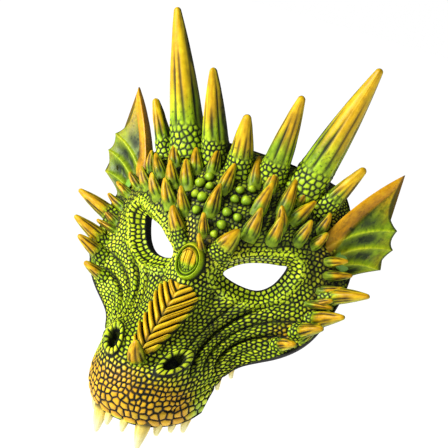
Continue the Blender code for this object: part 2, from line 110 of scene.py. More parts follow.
floor_mesh = bpy.data.meshes.new("floor")
floor_mesh.from_pydata([(-60, -20, -0.7), (60, -20, -0.7), (60, 160, -0.7), (-60, 160, -0.7)], [],
                       [(0, 1, 2, 3)])
floor_paint = bpy.data.materials.new("floor_white")
floor_paint.use_nodes = True
floor_paint.node_tree.nodes["Principled BSDF"].inputs["Base Color"].default_value = (1, 1, 1, 1)
floor_paint.node_tree.nodes["Principled BSDF"].inputs["Roughness"].default_value = 0.9
floor_paint.node_tree.nodes["Principled BSDF"].inputs["Emission Color"].default_value = (1, 1, 1, 1)
floor_paint.node_tree.nodes["Principled BSDF"].inputs["Emission Strength"].default_value = 0.9
floor_mesh.materials.append(floor_paint)
floor = bpy.data.objects.new("floor", floor_mesh)
scene.collection.objects.link(floor)

# --- Face skin ---------------------------------------------------------------------------
# The outer face of the moulding: soft foam with a skin of small domed scales, sprayed
# yellow-green, rubbed with black in the cracks and brushed orange over the snout, with painted
# shade in its folds and hollows.
CAGE = np.array([
    [(0, -64, -96), (12, -63, -96), (22, -57, -94), (30, -48, -91), (35, -40, -87), (37, -32, -83)],
    [(0, -73, -88), (15, -71, -88), (28, -61, -86), (35, -50, -81), (38, -40, -76), (39, -32, -72)],
    [(0, -74, -75), (15, -72, -75), (28, -61, -73), (35, -47, -68), (38, -36, -64), (41, -28, -60)],
    [(0, -66, -61), (12, -66, -60), (25, -60, -56), (33, -42, -53), (38, -26, -51), (47, -17, -50)],
    [(0, -55, -46), (12, -48, -44), (22, -35, -41), (31, -22, -39), (44, -12, -40), (63, -9, -43)],
    [(0, -41, -28), (12, -31, -27), (24, -16, -24), (40, -8, -22), (60, -3, -24), (80, -1, -28)],
    [(0, -29, -11), (12, -20, -9), (25, -10, -5), (43, -2, -3), (65, 5, -5), (85, 14, -8)],
    [(0, -27, 7), (12, -21, 9), (28, -13, 14), (45, -4, 17), (66, 8, 16), (86, 27, 12)],
    [(0, -23, 25), (14, -19, 27), (31, -12, 31), (47, -2, 35), (64, 12, 35), (81, 33, 33)],
    [(0, -11, 43), (14, -8, 44), (31, 0, 46), (46, 10, 49), (60, 23, 50), (71, 39, 50)],
    [(0, 6, 59), (14, 8, 60), (30, 14, 62), (44, 22, 62), (55, 33, 61), (62, 45, 60)],
    [(0, 26, 71), (14, 27, 71), (28, 31, 70), (39, 37, 68), (49, 44, 66), (56, 53, 62)],
], float)
WALL = 5.0
EYE_AT = (37.0, 2.5)                 # x and z of the eye opening's middle
EYE_TURN = (0.88, 0.47)              # the eye plane's sideways direction in x and y
EYE_Y = -5.0
ALMOND = [(-19, -5), (-14, 0.5), (-7, 4.5), (3, 7.5), (12, 9), (17.5, 9.5),
          (15, 2), (10, -5), (2, -9.5), (-10, -9)]
BUTTON = (4.72, 7.55)


def with_borders(cage):
    """The cage with a mirrored column before the mid-line and reflected rows and columns beyond
    the rim."""
    wide = np.concatenate([cage[:, 1:2] * (-1, 1, 1), cage, 2 * cage[:, -1:] - cage[:, -2:-1]], 1)
    return np.concatenate([2 * wide[:1] - wide[1:2], wide, 2 * wide[-1:] - wide[-2:-1]], 0)


NET = with_borders(CAGE)


def spline_weights(t, count):
    """First knot and the four uniform cubic B-spline weights for every t."""
    first = np.clip(np.floor(t), 0, count - 2).astype(int)
    s = t - first
    w = ((1 - s) ** 3, 3 * s ** 3 - 6 * s ** 2 + 4, -3 * s ** 3 + 3 * s ** 2 + 3 * s + 1, s ** 3)
    return first, np.stack(w, -1) / 6


def skin(u, v):
    """Bicubic B-spline of the cage: u runs from the mid-line to the rim, v from the lip to the
    crown."""
    u, v = np.broadcast_arrays(np.asarray(u, float), np.asarray(v, float))
    i, a = spline_weights(np.abs(u), CAGE.shape[1])
    j, b = spline_weights(v, CAGE.shape[0])
    p = np.zeros(u.shape + (3,))
    for m in range(4):
        for n in range(4):
            p += (b[..., m] * a[..., n])[..., None] * NET[j + m, i + n]
    p[..., 0] *= np.where(u < 0, -1.0, 1.0)
    return p


def unit(p):
    """Vectors scaled to length one."""
    return p / np.maximum(np.linalg.norm(p, axis=-1, keepdims=True), 1e-12)


def out_of(u, v):
    """Outward normal of the skin, from central differences."""
    h = 0.02
    u, v = np.broadcast_arrays(np.asarray(u, float), np.asarray(v, float))
    across = skin(np.minimum(u + h, 5), v) - skin(np.maximum(u - h, -5), v)
    along = skin(u, np.minimum(v + h, 11)) - skin(u, np.maximum(v - h, 0))
    return unit(np.cross(across, along))


def ease(low, high, x):
    """Smooth step from 0 at low to 1 at high."""
    t = np.clip((x - low) / (high - low), 0, 1)
    return t * t * (3 - 2 * t)


def chance(i, j, seed):
    """A repeatable number from 0 to 1 for each pair of whole numbers."""
    return np.mod(np.sin(i * 127.1 + j * 311.7 + seed * 74.7) * 43758.5453, 1.0)


def mottle(x, y, seed):
    """Smooth patches from -1 to 1: chance values on a unit lattice, eased between."""
    i, j = np.floor(x), np.floor(y)
    s, t = ease(0, 1, x - i), ease(0, 1, y - j)
    low = chance(i, j, seed) * (1 - s) + chance(i + 1, j, seed) * s
    high = chance(i, j + 1, seed) * (1 - s) + chance(i + 1, j + 1, seed) * s
    return 2 * (low * (1 - t) + high * t) - 1


def borders(dx, dy, mark):
    """Distance to the edge of the nearest seed's cell: the least distance to a line midway to
    another seed."""
    d2 = dx ** 2 + dy ** 2
    near = d2.argmin(0)[None]
    nx = np.take_along_axis(dx, near, 0)
    ny = np.take_along_axis(dy, near, 0)
    n2 = np.take_along_axis(d2, near, 0)
    apart = np.hypot(dx - nx, dy - ny)
    gap = np.where(apart < 1e-6, 1e9, (d2 - n2) / (2 * np.maximum(apart, 1e-6)))
    return gap.min(0), np.take_along_axis(mark, near, 0)[0]


def scale_cells(x, y, wobble, seed, around=None):
    """Unit cells laid like bricks with each seed moved by wobble; around closes a row after that
    many."""
    row = np.floor(y)
    dx, dy, mark = [], [], []
    for dj in (-1, 0, 1):
        j = row + dj
        shift = 0.5 * np.mod(j, 2) + 0.25 * chance(j, 7, seed)
        col = np.floor(x - shift)
        for di in (-1, 0, 1):
            i = col + di
            name = i if around is None else np.mod(i, around)
            dx.append(x - (i + 0.5 + shift + wobble * (chance(name, j, seed) - 0.5)))
            dy.append(y - (j + 0.5 + wobble * (chance(name, j, seed + 1) - 0.5)))
            mark.append(chance(name, j, seed + 2))
    return borders(np.array(dx), np.array(dy), np.array(mark))


def scale_rows(walk, y, wide, high, wobble, seed):
    """Millimetre cells in rows: row j's scales are all as wide as the wide function says, so a row
    of big plates can lie against a row of small ones; high is the row height at each point."""
    row = np.floor(y)
    dx, dy, mark = [], [], []
    for dj in (-1, 0, 1):
        j = row + dj
        w = wide(j + 0.5)
        shift = 0.5 * np.mod(j, 2) + 0.25 * chance(j, 7, seed)
        col = np.floor(walk / w - shift)
        for di in (-1, 0, 1):
            i = col + di
            dx.append(walk - (i + 0.5 + shift + wobble * (chance(i, j, seed) - 0.5)) * w)
            dy.append((y - (j + 0.5 + 0.8 * wobble * (chance(i, j, seed + 1) - 0.5))) * high)
            mark.append(chance(i, j, seed + 2))
    return borders(np.array(dx), np.array(dy), np.array(mark))


def closed_curve(knots, count, out_by=0.0):
    """A smooth loop through the knots (Catmull-Rom) with outward normals, in steps that are even on
    the curve that runs out_by further out."""
    k = np.array(knots, float)
    t = np.linspace(0, len(k), 40 * len(k), endpoint=False)
    i = t.astype(int)
    s = (t - i)[:, None]
    a, b, c, d = (k[(i + n) % len(k)] for n in (-1, 0, 1, 2))
    p = b + 0.5 * s * (c - a + s * (2 * a - 5 * b + 4 * c - d + s * (3 * (b - c) + d - a)))
    way = np.roll(p, -1, 0) - np.roll(p, 1, 0)
    normal = unit(np.stack([way[:, 1], -way[:, 0]], 1))
    if (normal * (p - p.mean(0))).sum() < 0:
        normal = -normal
    for _ in range(60):
        normal = unit(np.roll(normal, 1, 0) + 2 * normal + np.roll(normal, -1, 0))
    far = p + out_by * normal
    walk = np.concatenate([[0], np.cumsum(np.linalg.norm(np.roll(far, -1, 0) - far, axis=1))])
    loop = np.concatenate([np.hstack([p, normal]), np.hstack([p, normal])[:1]])
    at = np.linspace(0, walk[-1], count, endpoint=False)
    q = np.stack([np.interp(at, walk, loop[:, n]) for n in range(4)], 1)
    return q[:, :2], unit(q[:, 2:]), walk[-1]


EYE_LOOP, EYE_OUT, _ = closed_curve(ALMOND, 200)


def eye_plane(p):
    """Sideways and upward place of a point in the plane of its own side's eye."""
    a = (np.abs(p[..., 0]) - EYE_AT[0]) * EYE_TURN[0] + (p[..., 1] - EYE_Y) * EYE_TURN[1]
    return a, p[..., 2] - EYE_AT[1]


def eye_distance(p):
    """Millimetres from the eye opening's edge, negative inside, 99 where it is far."""
    a, b = eye_plane(p)
    d = np.full(a.shape, 99.0)
    close = (np.abs(a) < 45) & (np.abs(b) < 36)
    q = np.stack([a[close], b[close]], -1)
    dist = np.full(len(q), 99.0)
    sign = np.ones(len(q))
    for start in range(0, len(q), 20000):
        part = q[start:start + 20000]
        away = part[:, None] - EYE_LOOP[None]
        r = np.linalg.norm(away, axis=2)
        n = r.argmin(1)
        dist[start:start + 20000] = r[np.arange(len(part)), n]
        sign[start:start + 20000] = np.sign((away[np.arange(len(part)), n] * EYE_OUT[n]).sum(1))
    d[close] = dist * sign
    return d


def swell(u, v, at, reach):
    """A soft round hill of height one at a station, on both sides of the face."""
    return np.exp(-((np.abs(u) - at[0]) / reach[0]) ** 2 - ((v - at[1]) / reach[1]) ** 2)


def fold_lines(u, v):
    """Cheek folds are arcs about one centre: millimetres to the nearest valley, its number, and
    their reach."""
    rho = np.hypot(np.abs(u) - 4.9, v - 3.6)
    phase = (rho - 1.33) / 0.56
    number = np.round(phase)
    reach = ease(1.5, 2.3, np.abs(u)) * ease(4.7, 3.9, np.abs(u)) * ease(2.3, 3.2, v)
    reach = reach * ease(6.0, 5.3, v) * ease(-1.4, -0.5, phase) * ease(3.9, 3.2, phase)
    return np.abs(phase - number) * 9.5, number, reach


NOSTRIL = ((1.34, 2.98), (2.06, 3.44))     # stations of its front and rear corners
NOSTRIL_HALF = (8.6, 3.8)


def nostril(u, v):
    """How many nostril sizes a station lies from the nostril's middle (1 on its edge), and the
    angle."""
    front, rear = skin(*NOSTRIL[0]), skin(*NOSTRIL[1])
    middle = (NOSTRIL[0][0] + NOSTRIL[1][0]) / 2, (NOSTRIL[0][1] + NOSTRIL[1][1]) / 2
    along = unit(rear - front)
    over = np.cross(out_of(*middle), along)
    p = skin(np.abs(u), v) - skin(*middle)
    a, b = p @ along / NOSTRIL_HALF[0], p @ over / NOSTRIL_HALF[1]
    return np.hypot(a, b), np.arctan2(b, a)


def form(u, v):
    """Height of the modelled face over the smooth skin: eye socket, brow, folds, nostril hills,
    pits."""
    d = eye_distance(skin(u, v))
    b = eye_plane(skin(u, v))[1]
    h = -6.0 * ease(8.5, 0, d)
    h = h + 3.3 * ease(-2, 8, b) * np.exp(-((d - 8) / 5.0) ** 2)
    h = h + 1.0 * ease(2, -8, b) * np.exp(-((d - 8) / 4.0) ** 2)
    valley, number, reach = fold_lines(u, v)
    depth = np.where((number == 0) | (number == 2), 3.3, 1.9)
    h = h + reach * (1.1 - depth * np.exp(-(valley / 2.0) ** 2))
    h = h - 3.5 * swell(u, v, (1.6, 5.62), (0.26, 0.34))
    h = h + 2.6 * swell(u, v, (1.75, 3.2), (0.75, 0.6))
    e = nostril(u, v)[0]
    h = h + 1.3 * np.exp(-((e - 1.35) / 0.35) ** 2) - 5.6 * ease(1.02, 0.62, e)
    h = h - 1.6 * swell(u, v, (1.0, 3.9), (0.35, 0.9))
    h = h - 1.0 * np.exp(-((v - 1.05 - 0.1 * np.abs(u)) / 0.1) ** 2) * ease(1.4, 2.2, np.abs(u))
    h = h - 0.8 * np.exp(-((v - 1.6 - 0.1 * np.abs(u)) / 0.1) ** 2) * ease(1.6, 2.4, np.abs(u))
    return h


def button_clear(p):
    """1 on the flat round each snap button, 0 away from it."""
    d = np.linalg.norm(p * (1, 1, 1) - skin(BUTTON[0], BUTTON[1]), axis=-1)
    e = np.linalg.norm(p * (-1, 1, 1) - skin(BUTTON[0], BUTTON[1]), axis=-1)
    return ease(9.5, 7.2, np.minimum(d, e))


# Where the spikes lie on the brow (foot station, tip station, radius), and the beads between
# them. Each place was measured on its own and is not worked out by a rule.
WEARER_LEFT = [
    (1.04, 9.70, 0.70, 10.40, 4.2), (1.66, 9.62, 1.56, 10.16, 4.0), (1.70, 8.72, 1.72, 9.50, 4.4),
    (2.52, 8.84, 2.42, 9.86, 4.6), (2.88, 9.30, 3.00, 9.62, 3.8), (3.02, 8.56, 3.32, 9.12, 4.3),
    (2.68, 8.22, 2.40, 8.76, 4.0), (1.84, 7.80, 1.80, 8.58, 4.8), (2.64, 7.66, 2.54, 8.34, 4.3),
    (3.40, 7.82, 3.44, 8.40, 4.1), (3.92, 8.34, 3.94, 8.80, 3.7), (3.88, 7.80, 3.98, 8.14, 3.7),
    (4.34, 7.40, 4.66, 7.52, 3.2), (4.44, 7.00, 4.86, 7.16, 3.1), (4.42, 6.50, 4.78, 6.72, 3.0),
    (4.48, 6.12, 4.72, 6.30, 2.8)]
WEARER_RIGHT = [
    (1.00, 9.64, 1.10, 10.20, 4.0), (1.68, 9.36, 1.95, 9.80, 4.2), (2.82, 9.06, 3.05, 9.50, 4.2),
    (1.60, 8.74, 1.95, 9.28, 4.4), (2.24, 8.44, 2.60, 8.92, 4.4), (3.16, 8.40, 3.60, 8.80, 4.3),
    (1.20, 7.98, 1.45, 8.48, 4.0), (2.00, 7.80, 2.30, 8.34, 4.7), (2.82, 7.70, 3.05, 8.20, 4.3),
    (3.54, 7.76, 3.80, 8.16, 4.0), (3.96, 8.36, 4.06, 8.80, 3.7), (4.05, 7.60, 4.30, 7.84, 3.5),
    (4.38, 7.24, 4.72, 7.40, 3.2), (4.44, 6.78, 4.84, 6.96, 3.1), (4.40, 6.30, 4.76, 6.48, 3.0)]
MIDDLE = [(0.0, 9.22, 0.0, 9.86, 4.4), (0.0, 8.40, 0.0, 9.08, 4.6), (0.14, 7.68, 0.0, 8.14, 3.4),
          (0.36, 7.04, 0.14, 7.54, 3.0)]
BEADS_LEFT = [(0.70, 9.30), (1.10, 9.42), (0.72, 8.96), (1.14, 8.98), (0.70, 8.48), (1.16, 8.36),
              (0.74, 8.04), (0.62, 7.70)]
BEADS_RIGHT = [(1.08, 9.04), (0.86, 9.36), (0.60, 9.10), (0.98, 8.66), (0.62, 8.68), (0.58, 8.24)]


def foot_shade(p):
    """1 where painted shade and black wash gather close round the spikes and beads, 0 away from them."""
    shade = np.zeros(p.shape[:2])
    for side, spots in ((1, WEARER_LEFT), (-1, WEARER_RIGHT), (1, MIDDLE)):
        for u0, v0, u1, v1, radius in spots:
            a, b = skin(side * u0, v0), skin(side * u1, v1)
            t = np.clip(((p - a) @ (b - a)) / ((b - a) @ (b - a)), 0, 1)
            d = np.linalg.norm(p - a - t[..., None] * (b - a), axis=-1)
            shade = np.maximum(shade, ease(radius + 4.2, radius + 0.3, d))
    for side, spots in ((1, BEADS_LEFT), (-1, BEADS_RIGHT)):
        for u0, v0 in spots:
            d = np.linalg.norm(p - skin(side * u0, v0), axis=-1)
            shade = np.maximum(shade, ease(7.0, 3.2, d))
    return shade


def warm_zone(u, v):
    """How far the orange brushing covers the skin: snout front, brow middle, roots of the cheek
    spikes."""
    a = np.abs(u)
    snout = ease(3.5, 2.4, v + 0.25 * a) * ease(0.1, 0.4, v + 0.1 * a) * ease(4.5 - 0.5 * v, 3.3
                                                                              - 0.5 * v, a)
    return np.maximum.reduce([snout, 0.55 * swell(u, v, (0.7, 7.3), (0.9, 0.6)),
                              0.9 * swell(u, v, (4.35, 4.95), (0.45, 0.45)) * ease(-0.5, 0.5, u),
                              0.5 * swell(u, v, (4.3, 7.9), (0.4, 0.9)),
                              0.5 * swell(u, v, (4.5, 6.3), (0.35, 0.6))])


def to_mesh(name, grids, traits, around=False, caps=(False, False), keep=None, flip=False):
    """Mesh of one or more grids (piece, row, column, xyz) in millimetres.

    Neighbouring points make quads, around joins the last column to the first, caps close the
    first and last row with a fan round their middle, keep drops quads, traits become attributes.
    """
    grids = np.asarray(grids, float)
    if grids.ndim == 3:
        grids = grids[None]
    pieces, rows, cols = grids.shape[:3]
    index = np.arange(pieces * rows * cols).reshape(pieces, rows, cols)
    right = np.roll(index, -1, 2) if around else index[:, :, 1:]
    left = index if around else index[:, :, :-1]
    quads = np.stack([left[:, :-1], right[:, :-1], right[:, 1:], left[:, 1:]], -1)
    quads = quads.reshape(-1, 4) if keep is None else quads[keep.reshape(quads.shape[:3])]
    points = grids.reshape(-1, 3)
    values = {k: np.asarray(t, float).reshape(-1) for k, t in traits.items()}
    fans = []
    for closed, row, order in ((caps[0], 0, 1), (caps[1], rows - 1, -1)):
        if closed:
            ring = index[:, row]
            centre = len(points) + np.arange(pieces)
            points = np.concatenate([points, grids[:, row].mean(1)])
            for k in values:
                flat = np.asarray(traits[k], float).reshape(pieces, rows, cols)
                values[k] = np.concatenate([values[k], flat[:, row].mean(1)])
            spoke = np.broadcast_to(centre[:, None], ring.shape)
            pair = (np.roll(ring, -1, 1), ring) if order == 1 else (ring, np.roll(ring, -1, 1))
            fans.append(np.stack([spoke, pair[0], pair[1]], -1).reshape(-1, 3))
    if flip:
        quads = quads[:, ::-1]
        fans = [f[:, ::-1] for f in fans]
    used = np.zeros(len(points), bool)
    used[quads.ravel()] = True
    for f in fans:
        used[f.ravel()] = True
    number = np.cumsum(used) - 1
    loops = np.concatenate([number[quads].ravel()] + [number[f].ravel() for f in fans])
    sizes = np.concatenate([np.full(len(quads), 4)] + [np.full(len(f), 3) for f in fans])
    mesh = bpy.data.meshes.new(name)
    mesh.vertices.add(int(used.sum()))
    mesh.vertices.foreach_set("co", (points[used] * MM).astype(np.float32).ravel())
    mesh.loops.add(len(loops))
    mesh.loops.foreach_set("vertex_index", loops.astype(np.int32))
    mesh.polygons.add(len(sizes))
    mesh.polygons.foreach_set("loop_start", (np.cumsum(sizes) - sizes).astype(np.int32))
    mesh.polygons.foreach_set("loop_total", sizes.astype(np.int32))
    mesh.polygons.foreach_set("use_smooth", np.ones(len(sizes), bool))
    mesh.update(calc_edges=True)
    for k, value in values.items():
        mesh.attributes.new(k, 'FLOAT', 'POINT').data.foreach_set(
            "value", value[used].astype(np.float32))
    obj = bpy.data.objects.new(name, mesh)
    scene.collection.objects.link(obj)
    return obj


def finish_piece(obj, paint, body="mask", stands_for=()):
    """Paints a piece, hangs it on its body and hides the CAD nodes that it stands for."""
    obj.data.materials.append(paint)
    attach(obj, body)
    if stands_for:
        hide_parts(*stands_for)
    return obj


def sprayed_foam(name, green, orange, crack, rough, grain=900.0):
    """Paint on foam: green to orange by the warm attribute, each from dark to light with height,
    cell and speckle, then black where the attribute for black wash and painted shade is high, and a fine pored
    bump."""
    paint = bpy.data.materials.new(name)
    paint.use_nodes = True
    tree = paint.node_tree
    shader = tree.nodes["Principled BSDF"]
    link = tree.links.new

    def trait(word):
        """Reads a named attribute."""
        node = tree.nodes.new("ShaderNodeAttribute")
        node.attribute_name = word
        return node.outputs["Fac"]

    def maths(kind, first, second, third=None):
        """One Math node; numbers or sockets go in."""
        node = tree.nodes.new("ShaderNodeMath")
        node.operation = kind
        for socket, value in zip(node.inputs, (first, second, third)):
            if value is None:
                continue
            if isinstance(value, (int, float)):
                socket.default_value = value
            else:
                link(value, socket)
        return node.outputs[0]

    def ramp(fac, stops):
        """A colour ramp through the stops."""
        node = tree.nodes.new("ShaderNodeValToRGB")
        link(fac, node.inputs["Fac"])
        elements = node.color_ramp.elements
        for k, (place, colour) in enumerate(stops):
            stop = elements[k] if k < 2 else elements.new(place)
            stop.position = place
            stop.color = (*colour, 1.0)
        return node.outputs["Color"]

    def blend(fac, first, second):
        """Colour mix by a factor."""
        node = tree.nodes.new("ShaderNodeMix")
        node.data_type = 'RGBA'
        link(fac, node.inputs["Factor"])
        link(first, node.inputs["A"])
        if isinstance(second, tuple):
            node.inputs["B"].default_value = (*second, 1.0)
        else:
            link(second, node.inputs["B"])
        return node.outputs["Result"]

    place = tree.nodes.new("ShaderNodeTexCoord")
    speck = tree.nodes.new("ShaderNodeTexNoise")
    speck.inputs["Scale"].default_value = 260.0
    speck.inputs["Detail"].default_value = 4.0
    link(place.outputs["Object"], speck.inputs["Vector"])
    patch = tree.nodes.new("ShaderNodeTexNoise")
    patch.inputs["Scale"].default_value = 45.0
    patch.inputs["Detail"].default_value = 2.0
    link(place.outputs["Object"], patch.inputs["Vector"])
    level = maths('MULTIPLY_ADD', trait("lift"), 0.80, 0.0)
    level = maths('MULTIPLY_ADD', trait("tint"), 0.24, level)
    level = maths('MULTIPLY_ADD', speck.outputs["Fac"], 0.6, level)
    level = maths('MULTIPLY_ADD', patch.outputs["Fac"], 0.4, level)
    level = maths('SUBTRACT', level, 0.58)
    cool = ramp(level, [(0.0, green[0]), (1.0, green[2]), (0.5, green[1])])
    hot = ramp(level, [(0.0, orange[0]), (1.0, orange[2]), (0.5, orange[1])])
    edge = maths('MULTIPLY_ADD', patch.outputs["Fac"], 0.5, -0.25)
    warm = maths('ADD', trait("warm"), edge)
    node = tree.nodes.new("ShaderNodeClamp")
    link(warm, node.inputs["Value"])
    colour = blend(node.outputs["Result"], cool, hot)
    rub = maths('MULTIPLY_ADD', speck.outputs["Fac"], 0.7, -0.35)
    wash_and_shade = tree.nodes.new("ShaderNodeClamp")
    link(maths('ADD', trait("groove"), maths('MULTIPLY', rub, trait("groove"))),
         wash_and_shade.inputs["Value"])
    colour = blend(wash_and_shade.outputs["Result"], colour, crack)
    link(colour, shader.inputs["Base Color"])
    shader.inputs["Specular IOR Level"].default_value = 0.25
    pores = tree.nodes.new("ShaderNodeTexNoise")
    pores.inputs["Scale"].default_value = grain
    pores.inputs["Detail"].default_value = 3.0
    link(place.outputs["Object"], pores.inputs["Vector"])
    dent = tree.nodes.new("ShaderNodeBump")
    dent.inputs["Strength"].default_value = 0.25
    dent.inputs["Distance"].default_value = 0.0004
    link(pores.outputs["Fac"], dent.inputs["Height"])
    link(dent.outputs["Normal"], shader.inputs["Normal"])
    matt = maths('MULTIPLY_ADD', speck.outputs["Fac"], 0.3, rough - 0.15)
    link(maths('MULTIPLY_ADD', trait("groove"), 0.25, matt), shader.inputs["Roughness"])
    return paint


GREEN = ((0.02, 0.05, 0.001), (0.33, 0.49, 0.004), (0.82, 1.00, 0.03))
ORANGE = ((0.09, 0.035, 0.001), (0.48, 0.22, 0.002), (0.90, 0.54, 0.012))
BLACK = (0.003, 0.005, 0.002)
skin_paint = sprayed_foam("scale_paint", GREEN, ORANGE, BLACK, 0.42)

COLS, ROWS = ((561, 601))
grid_u, grid_v = np.meshgrid(np.linspace(-5, 5, COLS), np.linspace(0, 11, ROWS))
base = skin(grid_u, grid_v)
out = out_of(grid_u, grid_v)
side_walk = np.zeros(grid_u.shape)
side_walk[:, 1:] = np.cumsum(np.linalg.norm(np.diff(base, axis=1), axis=2), 1)
side_walk -= side_walk[:, COLS // 2][:, None]
up_step = np.linalg.norm(np.diff(base, axis=0), axis=2)
size = np.interp(grid_v, [0, 0.5, 0.9, 1.5, 2.4, 3.5, 5, 8, 11],
                 [8.6, 7.2, 4.8, 3.7, 3.1, 2.9, 2.9, 2.8, 3.0])
rise = np.zeros(grid_u.shape)
rise[1:] = np.cumsum(up_step / size[1:], 0)
flow_x = side_walk + 1.1 * mottle(side_walk / 8, rise / 3, 3)
flow_y = rise + 0.3 * mottle(side_walk / 9, rise / 3, 4)
rise_line, size_line = rise[:, COLS // 2], size[:, 0]
# How much black wash lies on the skin: a mottle of real wash, with painted light on top that takes wash off the
# wearer's right cheek, where the key light falls.
wash_and_shade = 0.5 + 0.5 * mottle(side_walk / 7, rise / 2.5, 12)
wash_and_shade = np.clip(wash_and_shade - 0.7 * ease(-1.6, -3.0, grid_u) * ease(8.2, 6.5, grid_v), -0.35, 1)
# Painted shadow: more wash on the wearer's left side of the nose, the side turned away from the key light.
painted_nose_shadow = swell(grid_u, grid_v, (1.7, 4.6), (1.0, 1.5)) * ease(-0.5, 0.5, grid_u)
wash_and_shade = np.clip(wash_and_shade + 0.35 * painted_nose_shadow, -0.35, 1.15)
gap, tint = scale_rows(flow_x, flow_y, lambda y: 1.08 * np.interp(y, rise_line, size_line), size,
                       0.55, 11)
valley, number, reach = fold_lines(grid_u, grid_v)
crease = np.where(reach > 0.25, valley, 99.0)
gap = np.minimum(gap, crease)
hole, hole_turn = nostril(grid_u, grid_v)
beads_round = np.mod(hole_turn * 13 / (2 * np.pi), 1.0)
bead_gap = np.minimum((0.5 - np.abs(beads_round - 0.5)) * 3.2 * hole, np.abs(hole - 1.60) * 4.6)
gap = np.where(hole < 1.6, bead_gap, np.minimum(gap, (hole - 1.6) * 4.6 + 0.1))
clear = button_clear(base)
dome = 1 - np.exp(-np.maximum(gap, 0) / (0.16 * size))
trim = ease(0, 0.16, grid_v) * ease(11, 10.84, grid_v) * ease(5, 4.93, np.abs(grid_u))
lift = form(grid_u, grid_v) + (0.19 * size * dome * (0.25 + 0.75 * trim) - 0.3) * (1





                                                                                   - clear) - 1.0 * clear
# Black wash in the cracks between scales; the cracks widen where the wash mottle, with its painted light and
# shade, calls for more.
crack = ease(0.84 + 0.40 * wash_and_shade, 0.30 + 0.1 * wash_and_shade, gap
             + 0.16 * mottle(flow_x, flow_y * 3, 5)) * (1 - clear)
# Painted shade: dark in the cheek fold valleys, over the cheeks below the eyes, in the groove above the brow,
# in the pit beside the eye, round the feet of the spikes and beads (there together with black wash) and along
# the crown's top edge between the horns; the nostril's pocket is darkened too.
deepest = np.where((number == 0) | (number == 2), 1.0, 0.7)
shadow = deepest * reach * np.exp(-(valley / 1.7) ** 2)
shadow = np.maximum(shadow, 0.75 * ease(0.35, 0.8, wash_and_shade) * swell(grid_u, grid_v, (2.4, 4.2),
                                                                 (1.0, 1.1)))
brow_gap = eye_distance(base)
above = eye_plane(base)[1]
shadow = np.maximum(shadow, 0.8 * ease(-2, 8, above) * np.exp(-((brow_gap - 15.5) / 2.2) ** 2))
shadow = np.maximum(shadow, 0.9 * swell(grid_u, grid_v, (1.6, 5.62), (0.22, 0.3)))
shadow = np.maximum(shadow, ease(1.06, 0.88, hole))
shadow = np.maximum(shadow, 0.92 * foot_shade(base))
shadow = np.maximum(shadow, 0.88 * ease(9.6, 10.3, grid_v))
shadow = shadow + 0.25 * shadow * (1 - shadow) * mottle(side_walk / 2, rise, 9)
skin_points = base + lift[..., None] * out
# The skin's dark attribute holds both the black wash in the cracks and the painted shade.
skin_traits = {
    "groove": np.maximum(crack, shadow), "tint": tint,
    "lift": 0.25 + 0.75 * dome, "warm": warm_zone(grid_u, grid_v) + 0.25 * (tint - 0.5)}
NAMES = ("snout_skin", "nose_skin", "cheek_skin", "brow_skin", "crown_skin")
cuts = np.linspace(0, ROWS - 1, len(NAMES) + 1).astype(int)
for name, low, high in zip(NAMES, cuts, cuts[1:]):
    rows = slice(low, high + 1)
    far = brow_gap[rows] > 7.0
    keep = far[:-1, :-1] & far[1:, :-1] & far[:-1, 1:] & far[1:, 1:]
    piece = to_mesh(name, skin_points[rows], {k: t[rows] for k, t in skin_traits.items()},
                    keep=keep)
    finish_piece(piece, skin_paint)

# --- Foam lining ---------------------------------------------------------------------------
# The bare black foam on the wearer's side, and the cut edge all round the moulding.
# It follows the skin one wall thickness further in.
foam_black = bpy.data.materials.new("black_foam")
foam_black.use_nodes = True
foam_tree = foam_black.node_tree
foam_shader = foam_tree.nodes["Principled BSDF"]
foam_shader.inputs["Roughness"].default_value = 0.85
foam_noise = foam_tree.nodes.new("ShaderNodeTexNoise")
foam_noise.inputs["Scale"].default_value = 420.0
foam_noise.inputs["Detail"].default_value = 5.0
foam_ramp = foam_tree.nodes.new("ShaderNodeValToRGB")
foam_ramp.color_ramp.elements[0].color = (0.006, 0.006, 0.006, 1)
foam_ramp.color_ramp.elements[1].color = (0.035, 0.035, 0.033, 1)
foam_bump = foam_tree.nodes.new("ShaderNodeBump")
foam_bump.inputs["Strength"].default_value = 0.5
foam_bump.inputs["Distance"].default_value = 0.0006
foam_place = foam_tree.nodes.new("ShaderNodeTexCoord")
foam_tree.links.new(foam_place.outputs["Object"], foam_noise.inputs["Vector"])
foam_tree.links.new(foam_noise.outputs["Fac"], foam_ramp.inputs["Fac"])
foam_tree.links.new(foam_ramp.outputs["Color"], foam_shader.inputs["Base Color"])
foam_tree.links.new(foam_noise.outputs["Fac"], foam_bump.inputs["Height"])
foam_tree.links.new(foam_bump.outputs["Normal"], foam_shader.inputs["Normal"])

lining_u, lining_v = np.meshgrid(np.linspace(-5, 5, 221), np.linspace(0, 11, 241))
lining_base, lining_out = skin(lining_u, lining_v), out_of(lining_u, lining_v)
lining_form = form(lining_u, lining_v)
inner = lining_base + (lining_form - WALL)[..., None] * lining_out
far = eye_distance(lining_base) > 4.0
keep = far[:-1, :-1] & far[1:, :-1] & far[:-1, 1:] & far[1:, 1:]
piece = to_mesh("foam_lining", inner, {}, keep=keep, flip=True)
finish_piece(piece, foam_black, stands_for=("face_shell",))

